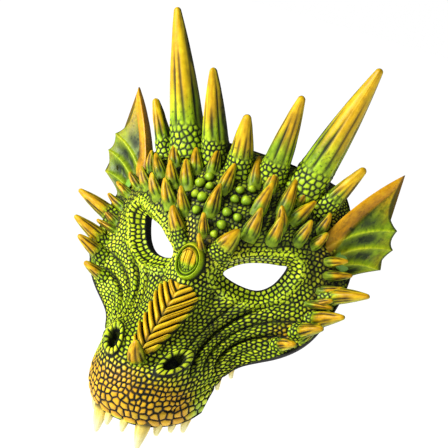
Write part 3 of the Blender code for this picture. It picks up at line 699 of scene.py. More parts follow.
rim_u = np.concatenate([np.linspace(-5, 5, 300), np.full(300, 5.0), np.linspace(5, -5, 300),
                        np.full(300, -5.0)])
rim_v = np.concatenate([np.zeros(300), np.linspace(0, 11, 300), np.full(300, 11.0),
                        np.linspace(11, 0, 300)])
rim_base, rim_out, rim_form = skin(rim_u, rim_v), out_of(rim_u, rim_v), form(rim_u, rim_v)
inward = unit(skin(rim_u * 0.98, rim_v + 0.15 * (5.5 - rim_v) / 5.5) - rim_base)
ROLLED = [(0.5, 0.6), (-0.1, 0.75), (-0.6, 0.4), (-0.9, -0.4), (-0.9, -2.5), (-0.8, -4.2),
          (-0.3, -4.9), (0.6, -5.1)]
rim_grid = np.stack([rim_base + (rim_form + h)[..., None] * rim_out + w * inward
                     for w, h in ROLLED])
piece = to_mesh("cut_edge", rim_grid, {}, around=True, flip=True)
finish_piece(piece, foam_black)

# --- Eye surrounds -------------------------------------------------------------------------
# Rows of brick-like scales run round each eye opening, down into the socket, and the foam
# turns over the opening's edge to the lining behind.


def station_of(a, b, side):
    """Skin stations under a point of the eye plane, by Newton steps on the skin's formula."""
    u = np.full(a.shape, 2.6)
    v = 6.4 + b / 19.0
    for _ in range(9):
        h = 1e-3
        f = np.stack(eye_plane(skin(u, v)), -1) - np.stack([a, b], -1)
        fu = (np.stack(eye_plane(skin(u + h, v)), -1)
              - np.stack(eye_plane(skin(u - h, v)), -1)) / (2 * h)
        fv = (np.stack(eye_plane(skin(u, v + h)), -1)
              - np.stack(eye_plane(skin(u, v - h)), -1)) / (2 * h)
        det = fu[..., 0] * fv[..., 1] - fu[..., 1] * fv[..., 0]
        u = u - np.clip((f[..., 0] * fv[..., 1] - f[..., 1] * fv[..., 0]) / det, -0.5, 0.5)
        v = v - np.clip((fu[..., 0] * f[..., 1] - fu[..., 1] * f[..., 0]) / det, -0.5, 0.5)
        u, v = np.clip(u, 0.3, 4.9), np.clip(v, 3.0, 9.5)
    return side * u, v


def ring_cells(turn, across, widths, tall, wobble, seed):
    """Bricks in closed rows: turn runs 0 to 1 round the loop, across is millimetres from it,
    and each row has its own whole number of bricks."""
    row = np.floor(across / tall)
    dx, dy, mark = [], [], []
    for dj in (-1, 0, 1):
        j = row + dj
        length = ring_length + 2 * np.pi * ((j + 0.5) * tall - 5.0)
        count = np.round(length / widths)
        x = turn * count + 0.5 * np.mod(j, 2) + chance(j, 3, seed)
        for di in (-1, 0, 1):
            i = np.floor(x) + di
            name = np.mod(i, count)
            dx.append((x - (i + 0.5 + wobble * (chance(name, j, seed) - 0.5))) * length / count)
            dy.append(across - (j + 0.5 + 0.5 * wobble * (chance(name, j, seed + 1) - 0.5)) * tall)
            mark.append(chance(name, j, seed + 2))
    return borders(np.array(dx), np.array(dy), np.array(mark))


RING_COLS = 520
ring_loop, ring_out, ring_length = closed_curve(ALMOND, RING_COLS, 5.0)
front = np.linspace(12.6, 0.4, 48)
ring_away = np.concatenate([front, [0.15, 0.02, 0, 0, 0, 0.05, 0.4, 2.0, 7.0]])
ring_sink = np.concatenate([front * 0, [-0.12, -0.4, -1.0, -2.5, -4.0, -4.9, -5.15, -5.2, -5.15]])
turn = np.broadcast_to(np.arange(RING_COLS) / RING_COLS, (len(ring_away), RING_COLS))
away = np.broadcast_to(ring_away[:, None], turn.shape)
for side, tag in ((1, "l"), (-1, "r")):
    at = ring_loop[None] + away[..., None] * ring_out[None]
    u, v = station_of(at[..., 0], at[..., 1], side)
    gap, tint = ring_cells(turn, away, 3.1, 2.5, 0.45, 21 + side)
    shown = (np.arange(len(ring_away)) < len(front))[:, None]
    dome = 1 - np.exp(-np.maximum(gap, 0) / 0.5)
    rise = np.where(shown, 0.62 * dome - 0.25 - 1.6 * ease(10.6, 12.6, away), -0.25)
    ring = skin(u, v) + (form(u, v) + rise + ring_sink[:, None])[..., None] * out_of(u, v)
    dark = np.where(shown, ease(0.78, 0.3, gap + 0.1 * mottle(turn * 90, away, 6)), 1.6)
    traits = {"groove": dark, "tint": tint, "lift": 0.25 + 0.75 * dome,
              "warm": 0.8 * warm_zone(u, v)}
    piece = to_mesh("eye_surround_" + tag, ring, traits, around=True, flip=(side > 0))
    finish_piece(piece, skin_paint)

# --- Horns ---------------------------------------------------------------------------------
# Seven soft foam horns stand along the crown. Each is a fluted taper that comes out of a
# collar of scales, green at the foot, brushed yellow to orange, and black at the back.


def at_wall(feet):
    """Nearest skin points to the feet and the outward normals there, from a coarse net of
    stations."""
    u, v = np.meshgrid(np.linspace(-5, 5, 101), np.linspace(0, 11, 111))
    u, v = u.ravel(), v.ravel()
    p = skin(u, v)
    n = np.argmin(((p - feet[:, None]) ** 2).sum(-1), 1)
    return p[n], out_of(u[n], v[n])


def spur(foot, tip, radius, front, seed, rows, cols, bow=(0, 0, 0), bury=5.0, collar=0.0,
         cell=3.6, flutes=(-2.2, -1.3, -0.5, 0.4, 1.2, 2.1), cut=0.9, vee=1.1, taper=1.9,
         blunt=1.8, foot_flare=0.15, keel=0.0, warm_from=0.3, warm_side=0.5, rear=0.8,
         foot_dark=0.0, thin=1.0, held=3.6, rear_from=0.1):
    """Tapered spur. The centre line runs from foot to tip with a bow; the radius falls as one
    less the taper power of the way up and is rounded over the blunt end; narrow V cuts run along
    it at the flute angles, measured from the front; scales cover the collar, a fraction of the
    length."""
    foot, tip, front, bow = (np.array(p, float) for p in (foot, tip, front, bow))
    length = np.linalg.norm(tip - foot)
    axis = (tip - foot) / length
    ahead = unit(front - axis * (front @ axis))
    aside = np.cross(axis, ahead)
    start = -bury / length
    way = 1 - (1 - start) * (1 - np.linspace(0, 1, rows)) ** 1.15
    t, turn = np.meshgrid(np.minimum(way, 0.9995), np.arange(cols) * 2 * np.pi / cols,
                          indexing="ij")
    up = np.clip(t, 0, 1)
    tail = 1 - blunt / length
    r = (radius - blunt) * (1 - up ** taper) + blunt
    r = r * np.sqrt(np.clip(1 - (np.maximum(up - tail, 0) / (1 - tail)) ** 2, 0, 1))
    r = r * (1 + foot_flare * ease(0.1, -0.06, t)) * (1 + 0.035 * np.sin(turn * 3 + seed))
    r = r * (1 + keel * np.maximum(np.cos(turn), 0) ** 10 * ease(0, 0.3, t))
    groove = np.zeros(t.shape)
    plain = ease(collar - 0.05, collar + 0.05, t + 0.04 * mottle(turn * 2, t * 0, seed))
    for k, at in enumerate(flutes):
        deep = 0.45 + 0.55 * chance(k, seed, 5)
        line = at + 0.25 * (chance(k, seed, 6) - 0.5) + 0.1 * np.sin(3 * t + 6 * chance(k, seed, 7))
        off = np.mod(turn - line + np.pi, 2 * np.pi) - np.pi
        away = np.abs(off) * np.maximum(r, 0.3)
        stop = 0.62 + 0.34 * chance(k, seed, 8)
        on = deep * plain * ease(stop, stop - 0.25, t)
        narrow = vee * (0.35 + 0.65 * r / radius)
        r = r - cut * on * (r / radius) * np.exp(-(away / narrow) ** 1.4)
        groove = np.maximum(groove, (0.35 + 0.65 * deep) * (on / deep) * np.exp(-(away / (0.85 * narrow)) ** 2))
    r = r + 0.12 * (r / radius) * mottle(turn * 7, t * 5, seed + 2) * plain
    tint = 0.5 + 0.5 * mottle(turn * 6, t * 3, seed + 3)
    lift = 0.55 + 0.3 * mottle(turn * 3, t * 8, seed + 4) - 0.5 * groove
    if collar > 0:
        count = int(round(2 * np.pi * radius / cell))
        gap, name = scale_cells(turn * count / (2 * np.pi), t * length / cell, 0.6, seed + 9,
                                around=count)
        gap = gap * cell * r / radius
        dome = 1 - np.exp(-gap / (0.16 * cell))
        r = r + (1 - plain) * (0.18 * cell * dome - 0.25)
        groove = np.maximum(groove, (1 - plain) * ease(0.95, 0.35, gap))
        lift = lift * plain + (1 - plain) * (0.25 + 0.75 * dome)
        tint = tint * plain + (1 - plain) * name
    shade = ease(rear_from, rear_from - 0.55, np.cos(turn)
                 + 0.25 * mottle(turn * 4, t * 9, seed + 5))
    groove = np.maximum(groove, rear * shade)
    groove = np.maximum(groove, foot_dark * ease(0.30, 0.02, t
                                                 + 0.1 * mottle(turn * 5, t * 8, seed + 7)))
    speck = ease(0.45, 0.75, mottle(turn * r * 1.1, t * length * 0.7, seed + 8))
    groove = np.maximum(groove, 0.75 * speck * plain * ease(collar + 0.3, collar + 0.05, t))
    facing = np.maximum(np.cos(turn), 0)
    warm = ease(warm_from - 0.12, warm_from + 0.22, t + 0.1 * mottle(turn * 3, t * 2, seed + 6))
    warm = warm * (1 - warm_side + warm_side * facing) + 0.1 * ease(0.7, 1.0, t)
    centre = foot + (tip - foot) * t[..., None] + bow * (4 * up * (1 - up))[..., None]
    ring = thin * np.cos(turn)[..., None] * ahead + np.sin(turn)[..., None] * aside
    points = centre + r[..., None] * ring
    wall, normal = at_wall(foot[None])
    deep = ((points - wall) * normal).sum(-1)
    points = points + (np.maximum(-held - deep, 0) * ease(0.35, 0.2, t))[..., None] * normal
    return points, {"groove": groove, "tint": tint, "lift": lift, "warm": warm}


def spur_piece(name, made, paint, stands_for=()):
    """One piece from a list of spurs made on grids of the same size."""
    grids = np.stack([points for points, _ in made])
    traits = {k: np.stack([values[k] for _, values in made]) for k in made[0][1]}
    piece = to_mesh(name, grids, traits, around=True, caps=(True, True))
    return finish_piece(piece, paint, stands_for=stands_for)


HORN_GREEN = ((0.03, 0.08, 0.002), (0.31, 0.48, 0.006), (0.66, 0.90, 0.020))
HORN_YELLOW = ((0.23, 0.12, 0.001), (0.64, 0.37, 0.002), (0.92, 0.64, 0.010))
horn_paint = sprayed_foam("horn_paint", HORN_GREEN, HORN_YELLOW, (0.010, 0.014, 0.006), 0.42)
HORN_ROWS, HORN_COLS = ((140, 144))
HORNS = [
    ("centre_horn", (0, 10, 60), (0, -2, 95), 8.4, 0.28, 0.34, 0),
    ("inner_horn", (20, 15, 62), (31, -2, 116), 9.0, 0.20, 0.42, 1),
    ("tall_horn", (42, 22, 61), (70.5, 7.5, 145), 11.4, 0.19, 0.34, 1),
    ("outer_horn", (57, 22.5, 52.5), (75, 22, 84), 6.4, 0.26, 0.36, 1)]
for n, (name, foot, tip, radius, collar, warm_from, paired) in enumerate(HORNS):
    for side, tag in ((1, "_l"), (-1, "_r")) if paired else ((1, ""),):
        flip = (side, 1, 1)
        made = spur(np.array(foot) * flip, np.array(tip) * flip, radius, (0.25 * side, -1, 0.1),
                    31 + n * 3 + side, HORN_ROWS, HORN_COLS, collar=collar,
                    cell=3.9 if n == 2 else 3.2,
                    flutes=(-2.3, -1.5, -0.95, -0.2, 0.5, 1.25, 2.1), cut=1.5, vee=1.2,
                    taper=1.75, blunt=2.0, warm_from=warm_from, warm_side=0.45, rear=0.95,
                    rear_from=0.42)
        spur_piece(name + tag, [made], horn_paint, stands_for=(name + tag,))

# --- Spikes --------------------------------------------------------------------------------
# Petal-shaped spikes of the same foam lean back over the brow, temples and cheeks. Each has a
# ridge down its front between two cuts, an orange middle and green sides.
SPIKE_ROWS, SPIKE_COLS = ((40, 48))
PETAL = (-1.9, -1.15, -0.5, 0.45, 1.1, 1.85)
spike_paint = sprayed_foam("spike_paint", HORN_GREEN,
                           ((0.20, 0.09, 0.001), (0.62, 0.33, 0.002), (0.92, 0.62, 0.015)),
                           (0.006, 0.009, 0.002), 0.42)


def petal(u0, v0, u1, v1, radius, seed, stand=6.5, collar=0.0, rows=SPIKE_ROWS, cols=SPIKE_COLS):
    """A spike that lies back over the skin from one station to another, with its tip standing off
    it."""
    foot = skin(u0, v0) - 1.2 * out_of(u0, v0)
    ahead = out_of(u0, v0)
    tip = skin(u1, v1) + stand * out_of(u1, v1)
    reach = tip - foot
    return spur(foot, tip + 0.12 * reach, 1.22 * radius, ahead, seed, rows, cols, bury=4.0,
                cell=2.6,
                collar=collar, flutes=PETAL, cut=1.1, vee=0.85, taper=1.55, blunt=0.9,
                bow=1.0 * ahead, foot_flare=-0.1, keel=0.15, warm_from=0.17, warm_side=0.9,
                foot_dark=0.4, thin=0.85)


CHEEK_FEET = [(4.86, 5.04, 4.90, 5.52, 2.8), (4.30, 6.04, 4.80, 6.10, 2.6)]
made = [petal(*spec, 60 + n) for n, spec in enumerate(WEARER_LEFT)]
spur_piece("forehead_spikes_l", made, spike_paint)
made = [petal(-a, b, -c, d, r, 90 + n) for n, (a, b, c, d, r) in enumerate(WEARER_RIGHT)]
spur_piece("forehead_spikes_r", made, spike_paint)
made = [petal(*spec, 120 + n) for n, spec in enumerate(MIDDLE)]
spur_piece("forehead_spikes_middle", made, spike_paint)

BROW_SPIKES = {1: ((14.5, -18, 11.5), (24, -22, 29), 6.9),
               -1: ((-10.0, -19, 9.5), (-23.5, -21, 29), 5.9)}
CHEEK_SPIKES = [((79, 16, 2), (105, 10, 12), 5.6), ((76, 9, -14), (97, -1.5, -3), 5.6),
                ((72, 1, -22), (88, -7, -13), 5.0), ((64, -5, -33), (76, -12, -27), 4.4)]
BIG_ROWS, BIG_COLS = ((64, 68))
for side, tag in ((1, "_l"), (-1, "_r")):
    flip = (side, 1, 1)
    foot, tip, radius = BROW_SPIKES[side]
    made = spur(foot, tip, radius, (-0.3 * side, -1, 0.2), 140 + side,
                BIG_ROWS, BIG_COLS, collar=0.34, cell=2.5, flutes=PETAL, cut=0.9, vee=0.9,
                taper=2.2, blunt=1.6, bow=(0.5 * side, -2, 0), keel=0.1, bury=3.0, held=2.0,
                warm_from=0.35,
                warm_side=0.8)
    spur_piece("brow_spike" + tag, [made], spike_paint,
               stands_for=("brow_spike" + tag,))
    for n, (foot, tip, radius) in enumerate(CHEEK_SPIKES):
        made = spur(np.array(foot) * flip, np.array(tip) * flip, radius, (0.1 * side, -1, 0.35),
                    150 + 3 * n + side, BIG_ROWS, BIG_COLS, collar=0.16, cell=2.6, flutes=PETAL,
                    cut=0.9, vee=0.9, taper=1.8, blunt=1.2, keel=0.08, bow=(0, -1.2, 0.6),
                    warm_from=0.18, warm_side=0.7)
        node = "cheek_spike_" + str(n + 1) + tag
        spur_piece(node, [made], spike_paint, stands_for=(node,))
    made = [petal(side * a, b, side * c, d, r, 170 + n) for n,
            (a, b, c, d, r) in enumerate(CHEEK_FEET)]
    spur_piece("cheek_scales" + tag, made, spike_paint)
made = spur((0, -61.5, -58.5), (0, -71, -45), 5.8, (0, -1, -0.3), 180, BIG_ROWS, BIG_COLS,
            bow=(0, -1.5, 0), flutes=PETAL, cut=1.0, vee=1.0, taper=2.0, blunt=1.2, keel=0.12,
            collar=0.12, cell=2.8, warm_from=0.12, warm_side=0.7)
spur_piece("nose_horn", [made], spike_paint, stands_for=("nose_horn",))

# --- Forehead beads ------------------------------------------------------------------------
# Smooth green pea-sized beads sit between the spikes in the middle of the forehead.
bead_paint = sprayed_foam("bead_paint", ((0.02, 0.05, 0.002), (0.21, 0.36, 0.006),
                                         (0.58, 0.78, 0.03)),
                          ORANGE, BLACK, 0.34)


def bead(u, v, radius, seed):
    """A dome standing off the skin: latitude rows from its foot to its top, slightly peaked."""
    t, turn = np.meshgrid(np.linspace(-0.25, 0.49, 16), np.arange(26) * 2 * np.pi / 26,
                          indexing="ij")
    n = out_of(u, v)
    side = unit(np.cross(n, (0.0, 0.0, 1.0)))
    rise = np.cross(side, n)
    flat = radius * np.cos(t * np.pi) * (1 + 0.05 * np.sin(3 * turn + seed))
    tall = 0.9 * radius * (np.sin(t * np.pi) + 0.10 * ease(0.3, 0.49, t))
    centre = skin(u, v) + 1.3 * n
    points = (centre + flat[..., None] * (np.cos(turn)[..., None] * rise
                                          - np.sin(turn)[..., None] * side)
              + tall[..., None] * n)
    groove = 0.9 * ease(0.12, -0.08, t)
    return points, {"groove": groove, "tint": 0.5 + 0 * t, "lift": 0.3 + 0.6 * ease(0, 0.45, t),
                    "warm": 0 * t}


made = [bead(side * u, v, 3.5 - 1.1 * chance(n, side, 2), n)
        for side, spots in ((1, BEADS_LEFT), (-1, BEADS_RIGHT)) for n, (u, v) in enumerate(spots)]
grids = np.stack([points for points, _ in made])
traits = {k: np.stack([values[k] for _, values in made]) for k in made[0][1]}
finish_piece(to_mesh("forehead_beads", grids, traits, around=True, caps=(True, True)),
             bead_paint)

# --- Bridge boss ---------------------------------------------------------------------------
# An oval ornament between the eyes: a rolled green rim, a dark moat, a thin inner rim, and an
# orange spade with a keel above a patch of fine scales.
BOSS_HALF = (8.3, 11.2)
boss_rows, boss_cols = 110, 180
rho, turn = np.meshgrid(np.linspace(1.22, 0.01, boss_rows),
                        np.arange(boss_cols) * 2 * np.pi / boss_cols,
                        indexing="ij")
bx = BOSS_HALF[0] * rho * np.sin(turn)
by = BOSS_HALF[1] * rho * np.cos(turn)
along = unit(skin(0.0, 7.1) - skin(0.0, 6.2))
off = out_of(0.0, 6.62)
over = np.array((1.0, 0.0, 0.0))
height = (2.9 * np.exp(-((rho - 0.93) / 0.10) ** 2) + 1.6 * np.exp(-((rho - 0.70) / 0.05) ** 2)
          + 1.2 * ease(1.05, 0.9, rho) - 3.4 * ease(1.02, 1.22, rho))
spade = ease(0.62, 0.50, np.hypot(bx / 5.6, (by - 1.2) / 8.2) * 0.62
             + 0.02 * mottle(turn * 3, rho * 3, 1))
height = height + spade * (2.4 + 1.9 * np.exp(-(bx / 2.2) ** 2)) * ease(-7, 1, by)
for line in (-2.1, 2.0, -0.3):
    height = height - 0.9 * spade * np.exp(-((bx - line) / 0.45) ** 2) * ease(-6, 0, by)
gap, tint = scale_cells(bx / 1.7 + 9, by / 1.7 + 9, 0.6, 41)
patch = (1 - spade) * ease(0.64, 0.58, rho)
patch = np.maximum(patch, ease(-1.5, -4.5, by) * ease(0.64, 0.58, rho))
height = height + patch * 0.5 * (1 - np.exp(-gap * 1.7 / 0.3))
cuts_dark = sum(0.8 * np.exp(-((bx - line) / 0.4) ** 2) for line in (-2.1, 2.0)) * spade
moat = np.exp(-((rho - 0.80) / 0.05) ** 2)
dark = np.maximum.reduce([moat * 0.95, cuts_dark, patch * ease(0.4, 0.12, gap * 1.7),
                          0.8 * np.exp(-((rho - 0.62) / 0.03) ** 2), ease(1.0, 1.12, rho)])
boss = (skin(0.0, 6.62) + 1.5 * off + bx[..., None] * over + by[..., None] * along
        + (height - 0.055 * (bx ** 2) * 0.35)[..., None] * off)
finish_piece(to_mesh("bridge_boss", boss, {
    "groove": np.clip(dark, 0, 1), "tint": 0.5 + 0.4 * mottle(bx / 2, by / 2, 5),
    "lift": np.clip(0.25 + 0.16 * height, 0, 1),
    "warm": np.clip(spade * ease(-4, 1, by), 0, 1)
    + 0.35 * np.exp(-((rho - 0.93) / 0.1) ** 2) * ease(0, 8, by)},
    around=True, caps=(False, True), flip=True), spike_paint,
    stands_for=("bridge_boss",))

# --- Snout ridge ---------------------------------------------------------------------------
# Overlapping chevron plates run down the nose, their arms swept back toward the forehead and
# ending in stepped green tips.
RIDGE = (5.82, 3.42)
RIDGE_HALF = 1.05
PLATES = 8
ridge_rows, ridge_cols = ((300, 140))
q, w = np.meshgrid(np.linspace(0, 1, ridge_rows), np.linspace(-1, 1, ridge_cols), indexing="ij")
half = RIDGE_HALF * (0.50 + 0.62 * ease(-0.05, 0.22, q) * ease(1.45, 0.15, q))
lag = 0.62 * np.abs(w) * half
phase = (q * (RIDGE[0] - RIDGE[1]) + lag) / ((RIDGE[0] - RIDGE[1]) / PLATES)
plate = np.floor(phase)
s = phase - plate
own = chance(plate, np.sign(w), 3)
s = np.clip(s + 0.10 * mottle(w * half * 3, plate * 1.7, 44) * np.sin(np.pi * s), 0, 1)
blade = np.sin(np.pi * s ** 0.85) ** 0.8
step = 0.74 + 0.22 * blade + 0.08 * (own - 0.5)
reach_w = np.abs(w) / step
second = np.exp(-((s - 0.42 - 0.16 * own) / 0.08) ** 2) * ease(0.35, 0.6,
                                                               chance(plate, np.sign(w), 6))
height = (0.4 + (2.2 + 1.2 * np.sin(np.pi * q)) * (blade - 0.3 * second) * (0.75





                                                                            + 0.5 * np.abs(w) ** 0.7))
height = height * (0.8 + 0.4 * own) * ease(1.0, 0.84, reach_w) - 1.4 * ease(0.90, 1.0, np.abs(w))
height = height * ease(0.0, 0.03, q) * ease(1.0, 0.97, q) - 0.8 * (1





                                                                   - ease(0.0, 0.02, q) * ease(1.0, 0.98, q))
valley_mid = np.exp(-(w * half * 14 / 0.9) ** 2)
height = height - 0.8 * valley_mid
u = w * half
v = RIDGE[0] - q * (RIDGE[0] - RIDGE[1]) + 0.0 * w
ridge = skin(u, v) + (height + 0.4)[..., None] * out_of(u, v)
dark = np.maximum.reduce([ease(0.26, 0.08, s), ease(0.74, 0.92, s),
                          0.6 * second * ease(1.0, 0.9, reach_w),
                          0.85 * valley_mid * ease(0.1, 0.4, q), ease(0.94, 1.0, reach_w)])
finish_piece(to_mesh("snout_ridge", ridge, {
    "groove": np.clip(dark, 0, 1), "tint": chance(plate, np.sign(w), 8),
    "lift": np.clip(0.15 + 0.85 * blade, 0, 1),
    "warm": ease(1.02, 0.7, np.abs(w)) * ease(0.1, 0.6, blade)}, flip=True),
    spike_paint, stands_for=("snout_ridge",))

# --- Ear fins ------------------------------------------------------------------------------
# A thin web of foam behind each temple, stretched between a thick orange spar and three ribs,
# with a scalloped edge. The web is mottled dark green between its ribs.
SPAR = ((64.5, 39.0), (96.2, 86.3))
SCALLOPS = [(0.0, 96.2, 86.3), (0.40, 102.6, 52.0), (0.62, 104.0, 40.0), (0.82, 101.0, 26.0),
            (1.0, 84.0, 13.2)]
FIN_ROOTS = [(0.0, 64.5, 39.0), (0.35, 67.5, 31.5), (0.65, 72.5, 24.0), (1.0, 76.5, 15.0)]
fin_paint = sprayed_foam("fin_paint", ((0.02, 0.05, 0.002), (0.24, 0.36, 0.005),
                                       (0.60, 0.74, 0.02)),
                         ((0.25, 0.09, 0.001), (0.64, 0.30, 0.002), (0.88, 0.54, 0.010)),
                         (0.010, 0.020, 0.005), 0.36)


def fin_web(side, back):
    """Front or back of the web: s runs from spar to lower edge and r from root to scalloped edge;
    the place is the straight line between the two edges, bowed up, and ribs and spar stand off
    the web."""
    n_r, n_s = ((130, 230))
    r, s = np.meshgrid(np.linspace(0, 1, n_r) ** 0.9, np.linspace(0, 1, n_s), indexing="ij")
    knots, rx, rz = (np.array(c) for c in zip(*SCALLOPS))
    roots, qx, qz = (np.array(c) for c in zip(*FIN_ROOTS))
    bay = np.clip(np.searchsorted(knots, s, side="right") - 1, 0, len(knots) - 2)
    part = (s - knots[bay]) / (knots[bay + 1] - knots[bay])
    chord = np.hypot(rx[bay + 1] - rx[bay], rz[bay + 1] - rz[bay])
    x1, z1 = np.interp(s, knots, rx), np.interp(s, knots, rz)
    x0, z0 = np.interp(s, roots, qx), np.interp(s, roots, qz)
    dip = 0.20 * chord * 4 * part * (1 - part)
    inward = np.stack([x0 - x1, z0 - z1], -1)
    inward = unit(inward)
    x1, z1 = x1 + inward[..., 0] * dip, z1 + inward[..., 1] * dip
    long_way = np.hypot(x1 - x0, z1 - z0)
    arch = 4 * r * (1 - r) * (0.045 + 0.05 * ease(0.0, 0.3, s) * ease(1.0, 0.8, s)) * long_way
    x = x0 + (x1 - x0) * r - arch * (z1 - z0) / long_way
    z = z0 + (z1 - z0) * r + arch * (x1 - x0) / long_way
    across = np.hypot(*(np.gradient(a, axis=1) for a in (x, z)))
    walk = np.cumsum(across, 1)
    raised = np.zeros(s.shape)
    for k in (1, 2, 3):
        column = int(round(knots[k] * (n_s - 1)))
        off = walk - walk[:, column:column + 1]
        raised = np.maximum(raised, np.exp(-(off / (1.5 - 0.5 * r)) ** 2) * (1.0 - 0.35 * r))
    held = ease(0.05, 0.4, r) * ease(1.05, 0.6, r)
    sag = np.sin(np.pi * part) ** 2 * held
    hollow = np.sin(np.pi * part ** np.where(bay == 0, 2.4, 0.8)) ** 2 * held
    spar_wide = 9.6 * (1 - r) ** 0.62 + 2.4
    lean = unit(np.array((SPAR[1][0] - SPAR[0][0], SPAR[1][1] - SPAR[0][1])))
    off_line = (x - SPAR[0][0]) * lean[1] - (z - SPAR[0][1]) * lean[0]
    beside = off_line - off_line[:, :1]
    spar = np.sqrt(np.clip(1 - ((beside - 0.42 * spar_wide) / (0.62 * spar_wide)) ** 2, 0, 1))
    spar_high = 5.4 * (1 - r) ** 0.75 + 0.7
    rim = np.minimum.reduce([ease(0, 1.2, walk), ease(0, 1.2, walk[:, -1:] - walk),
                             ease(0, 1.2, (1 - r) * long_way)])
    thick = (1.15 + 1.3 * raised + spar_high * spar) * (0.06 + 0.94 * np.sqrt(rim))
    bulge = -1.6 * sag
    y = 23 + 0.30 * (x - 66) + 0.12 * (z - 41) + (-bulge) + (1 if back else -1) * thick
    points = np.stack([side * x, y, z], -1)
    wall, normal = at_wall(points[0])
    deep = ((points - wall) * normal).sum(-1)
    points = points + (np.maximum(-3.9 - deep, 0) * ease(0.5, 0.3, r))[..., None] * normal
    blotch = 0.5 + 0.5 * mottle(walk / 4 + side, r * long_way / 5, 51)
    fine = 0.5 + 0.5 * mottle(walk / 1.1, r * long_way / 1.3, 52)
    grit = 0.5 + 0.5 * mottle(walk / 0.6, r * long_way / 0.7, 53)
    shade = np.clip(hollow * ease(0.25, 0.9, blotch + 0.5 * fine)
                    + 0.5 * ease(0.6, 0.9, grit) * blotch, 0, 0.92)
    dark = np.maximum.reduce([shade, 0.7 * ease(1.1, 0.3, (1 - r) * long_way),
                              0.6 * ease(0.25, 0.0, r), 0.9 * ease(0.9, 0.3, walk[:, -1:] - walk)])
    if back:
        dark = np.maximum(dark, 0.55)
    warm = ease(1.2, 0.85, beside / spar_wide) + 0.35 * ease(0.7, 1.0,
                                                             r) * blotch + 0.2 * raised * fine
    warm = warm + 0.65 * ease(0.55, 0.95, r) * ease(0.36, 0.05, s) * (0.6 + 0.4 * fine)
    return points, {"groove": dark, "tint": fine, "lift": 0.45 + 0.45 * raised - 0.25 * sag
                    + 0.2 * spar,
                    "warm": warm}


for side, tag in ((1, "_l"), (-1, "_r")):
    front_web, front_traits = fin_web(side, False)
    back_web, back_traits = fin_web(side, True)
    grid = np.concatenate([front_web, back_web[:, ::-1]], 1)
    traits = {k: np.concatenate([front_traits[k], back_traits[k][:, ::-1]],
                                1) for k in front_traits}
    piece = to_mesh("ear_fin" + tag, grid, traits, around=True, caps=(True, True), flip=(side > 0))
    finish_piece(piece, fin_paint, stands_for=("ear_fin" + tag,))

# --- Teeth ---------------------------------------------------------------------------------
# Ivory foam teeth hang from the lip and the lower cheeks: two fangs, small front teeth, and
# a row down each side. They are yellow at the root and thinly lined with black.
tooth_paint = sprayed_foam("tooth_paint", ((0.62, 0.48, 0.12), (0.88, 0.80, 0.34),
                                           (0.98, 0.94, 0.58)),
                           ((0.45, 0.26, 0.02), (0.80, 0.58, 0.08), (0.92, 0.80, 0.26)),
                           (0.03, 0.028, 0.01), 0.30, grain=500.0)
SIDE_TEETH = [("fang", 1.35, 18.0, 4.7), ("side_tooth_1", 2.2, 9.0, 3.1),
              ("side_tooth_2", 3.0, 8.0, 2.9),
              ("side_tooth_3", 4.0, 11.0, 3.2)]
FRONT_TEETH = {"_l": 0.30, "_r": -0.65}
REAR_TEETH = [("rear_tooth_1", 2.0, 8.0, 2.2), ("rear_tooth_2", 2.65, 6.0, 2.0)]
TOOTH_ROWS, TOOTH_COLS = ((54, 52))


def tooth(foot, drop, radius, seed):
    """A short spur that starts inside the lip and ends at the drop, blunt and a little bent."""
    foot = np.array(foot, float)
    points, traits = spur(foot, foot + drop, radius, (0, -1, 0), seed, TOOTH_ROWS, TOOTH_COLS,
                          bury=3.0, flutes=(-1.2, 0.3, 1.4), cut=0.35, vee=0.6, taper=1.6,
                          blunt=1.1, foot_flare=0.1, bow=(0, -0.5, 0), rear=0.15)
    t = np.linspace(0, 1, TOOTH_ROWS)[:, None] + 0 * traits["warm"]
    traits["warm"] = ease(0.75, 0.15, t)
    traits["groove"] = np.maximum(0.35 * traits["groove"], 0.9 * ease(0.28, 0.12, t))
    traits["lift"] = 0.45 + 0.4 * t
    return points, traits


for side, tag in ((1, "_l"), (-1, "_r")):
    for n, (name, u, drop, radius) in enumerate(SIDE_TEETH):
        edge = skin(side * u, 0.0) - 2.6 * out_of(side * u, 0.0)
        made = tooth(edge, (0, 0, -drop), radius, 200 + 5 * n + side)
        spur_piece(name + tag, [made], tooth_paint, stands_for=(name + tag,))
    u = FRONT_TEETH[tag]
    edge = skin(u, 0.0) - 2.6 * out_of(u, 0.0)
    made = tooth(edge, (0, -1.0, -9.5), 3.0, 230 + side)
    spur_piece("front_tooth" + tag, [made], tooth_paint,
               stands_for=("front_tooth" + tag,))
    for n, (name, v, drop, radius) in enumerate(REAR_TEETH):
        edge = skin(side * 5.0, v) - 2.6 * out_of(side * 4.95, v)
        made = tooth(edge, (0.5 * side, 3, -drop - 1), radius, 240 + 5 * n + side)
        spur_piece(name + tag, [made], tooth_paint, stands_for=(name + tag,))

# --- Snap buttons --------------------------------------------------------------------------
# Smooth green plastic caps hold the strap through the temples, with plain black backs behind.


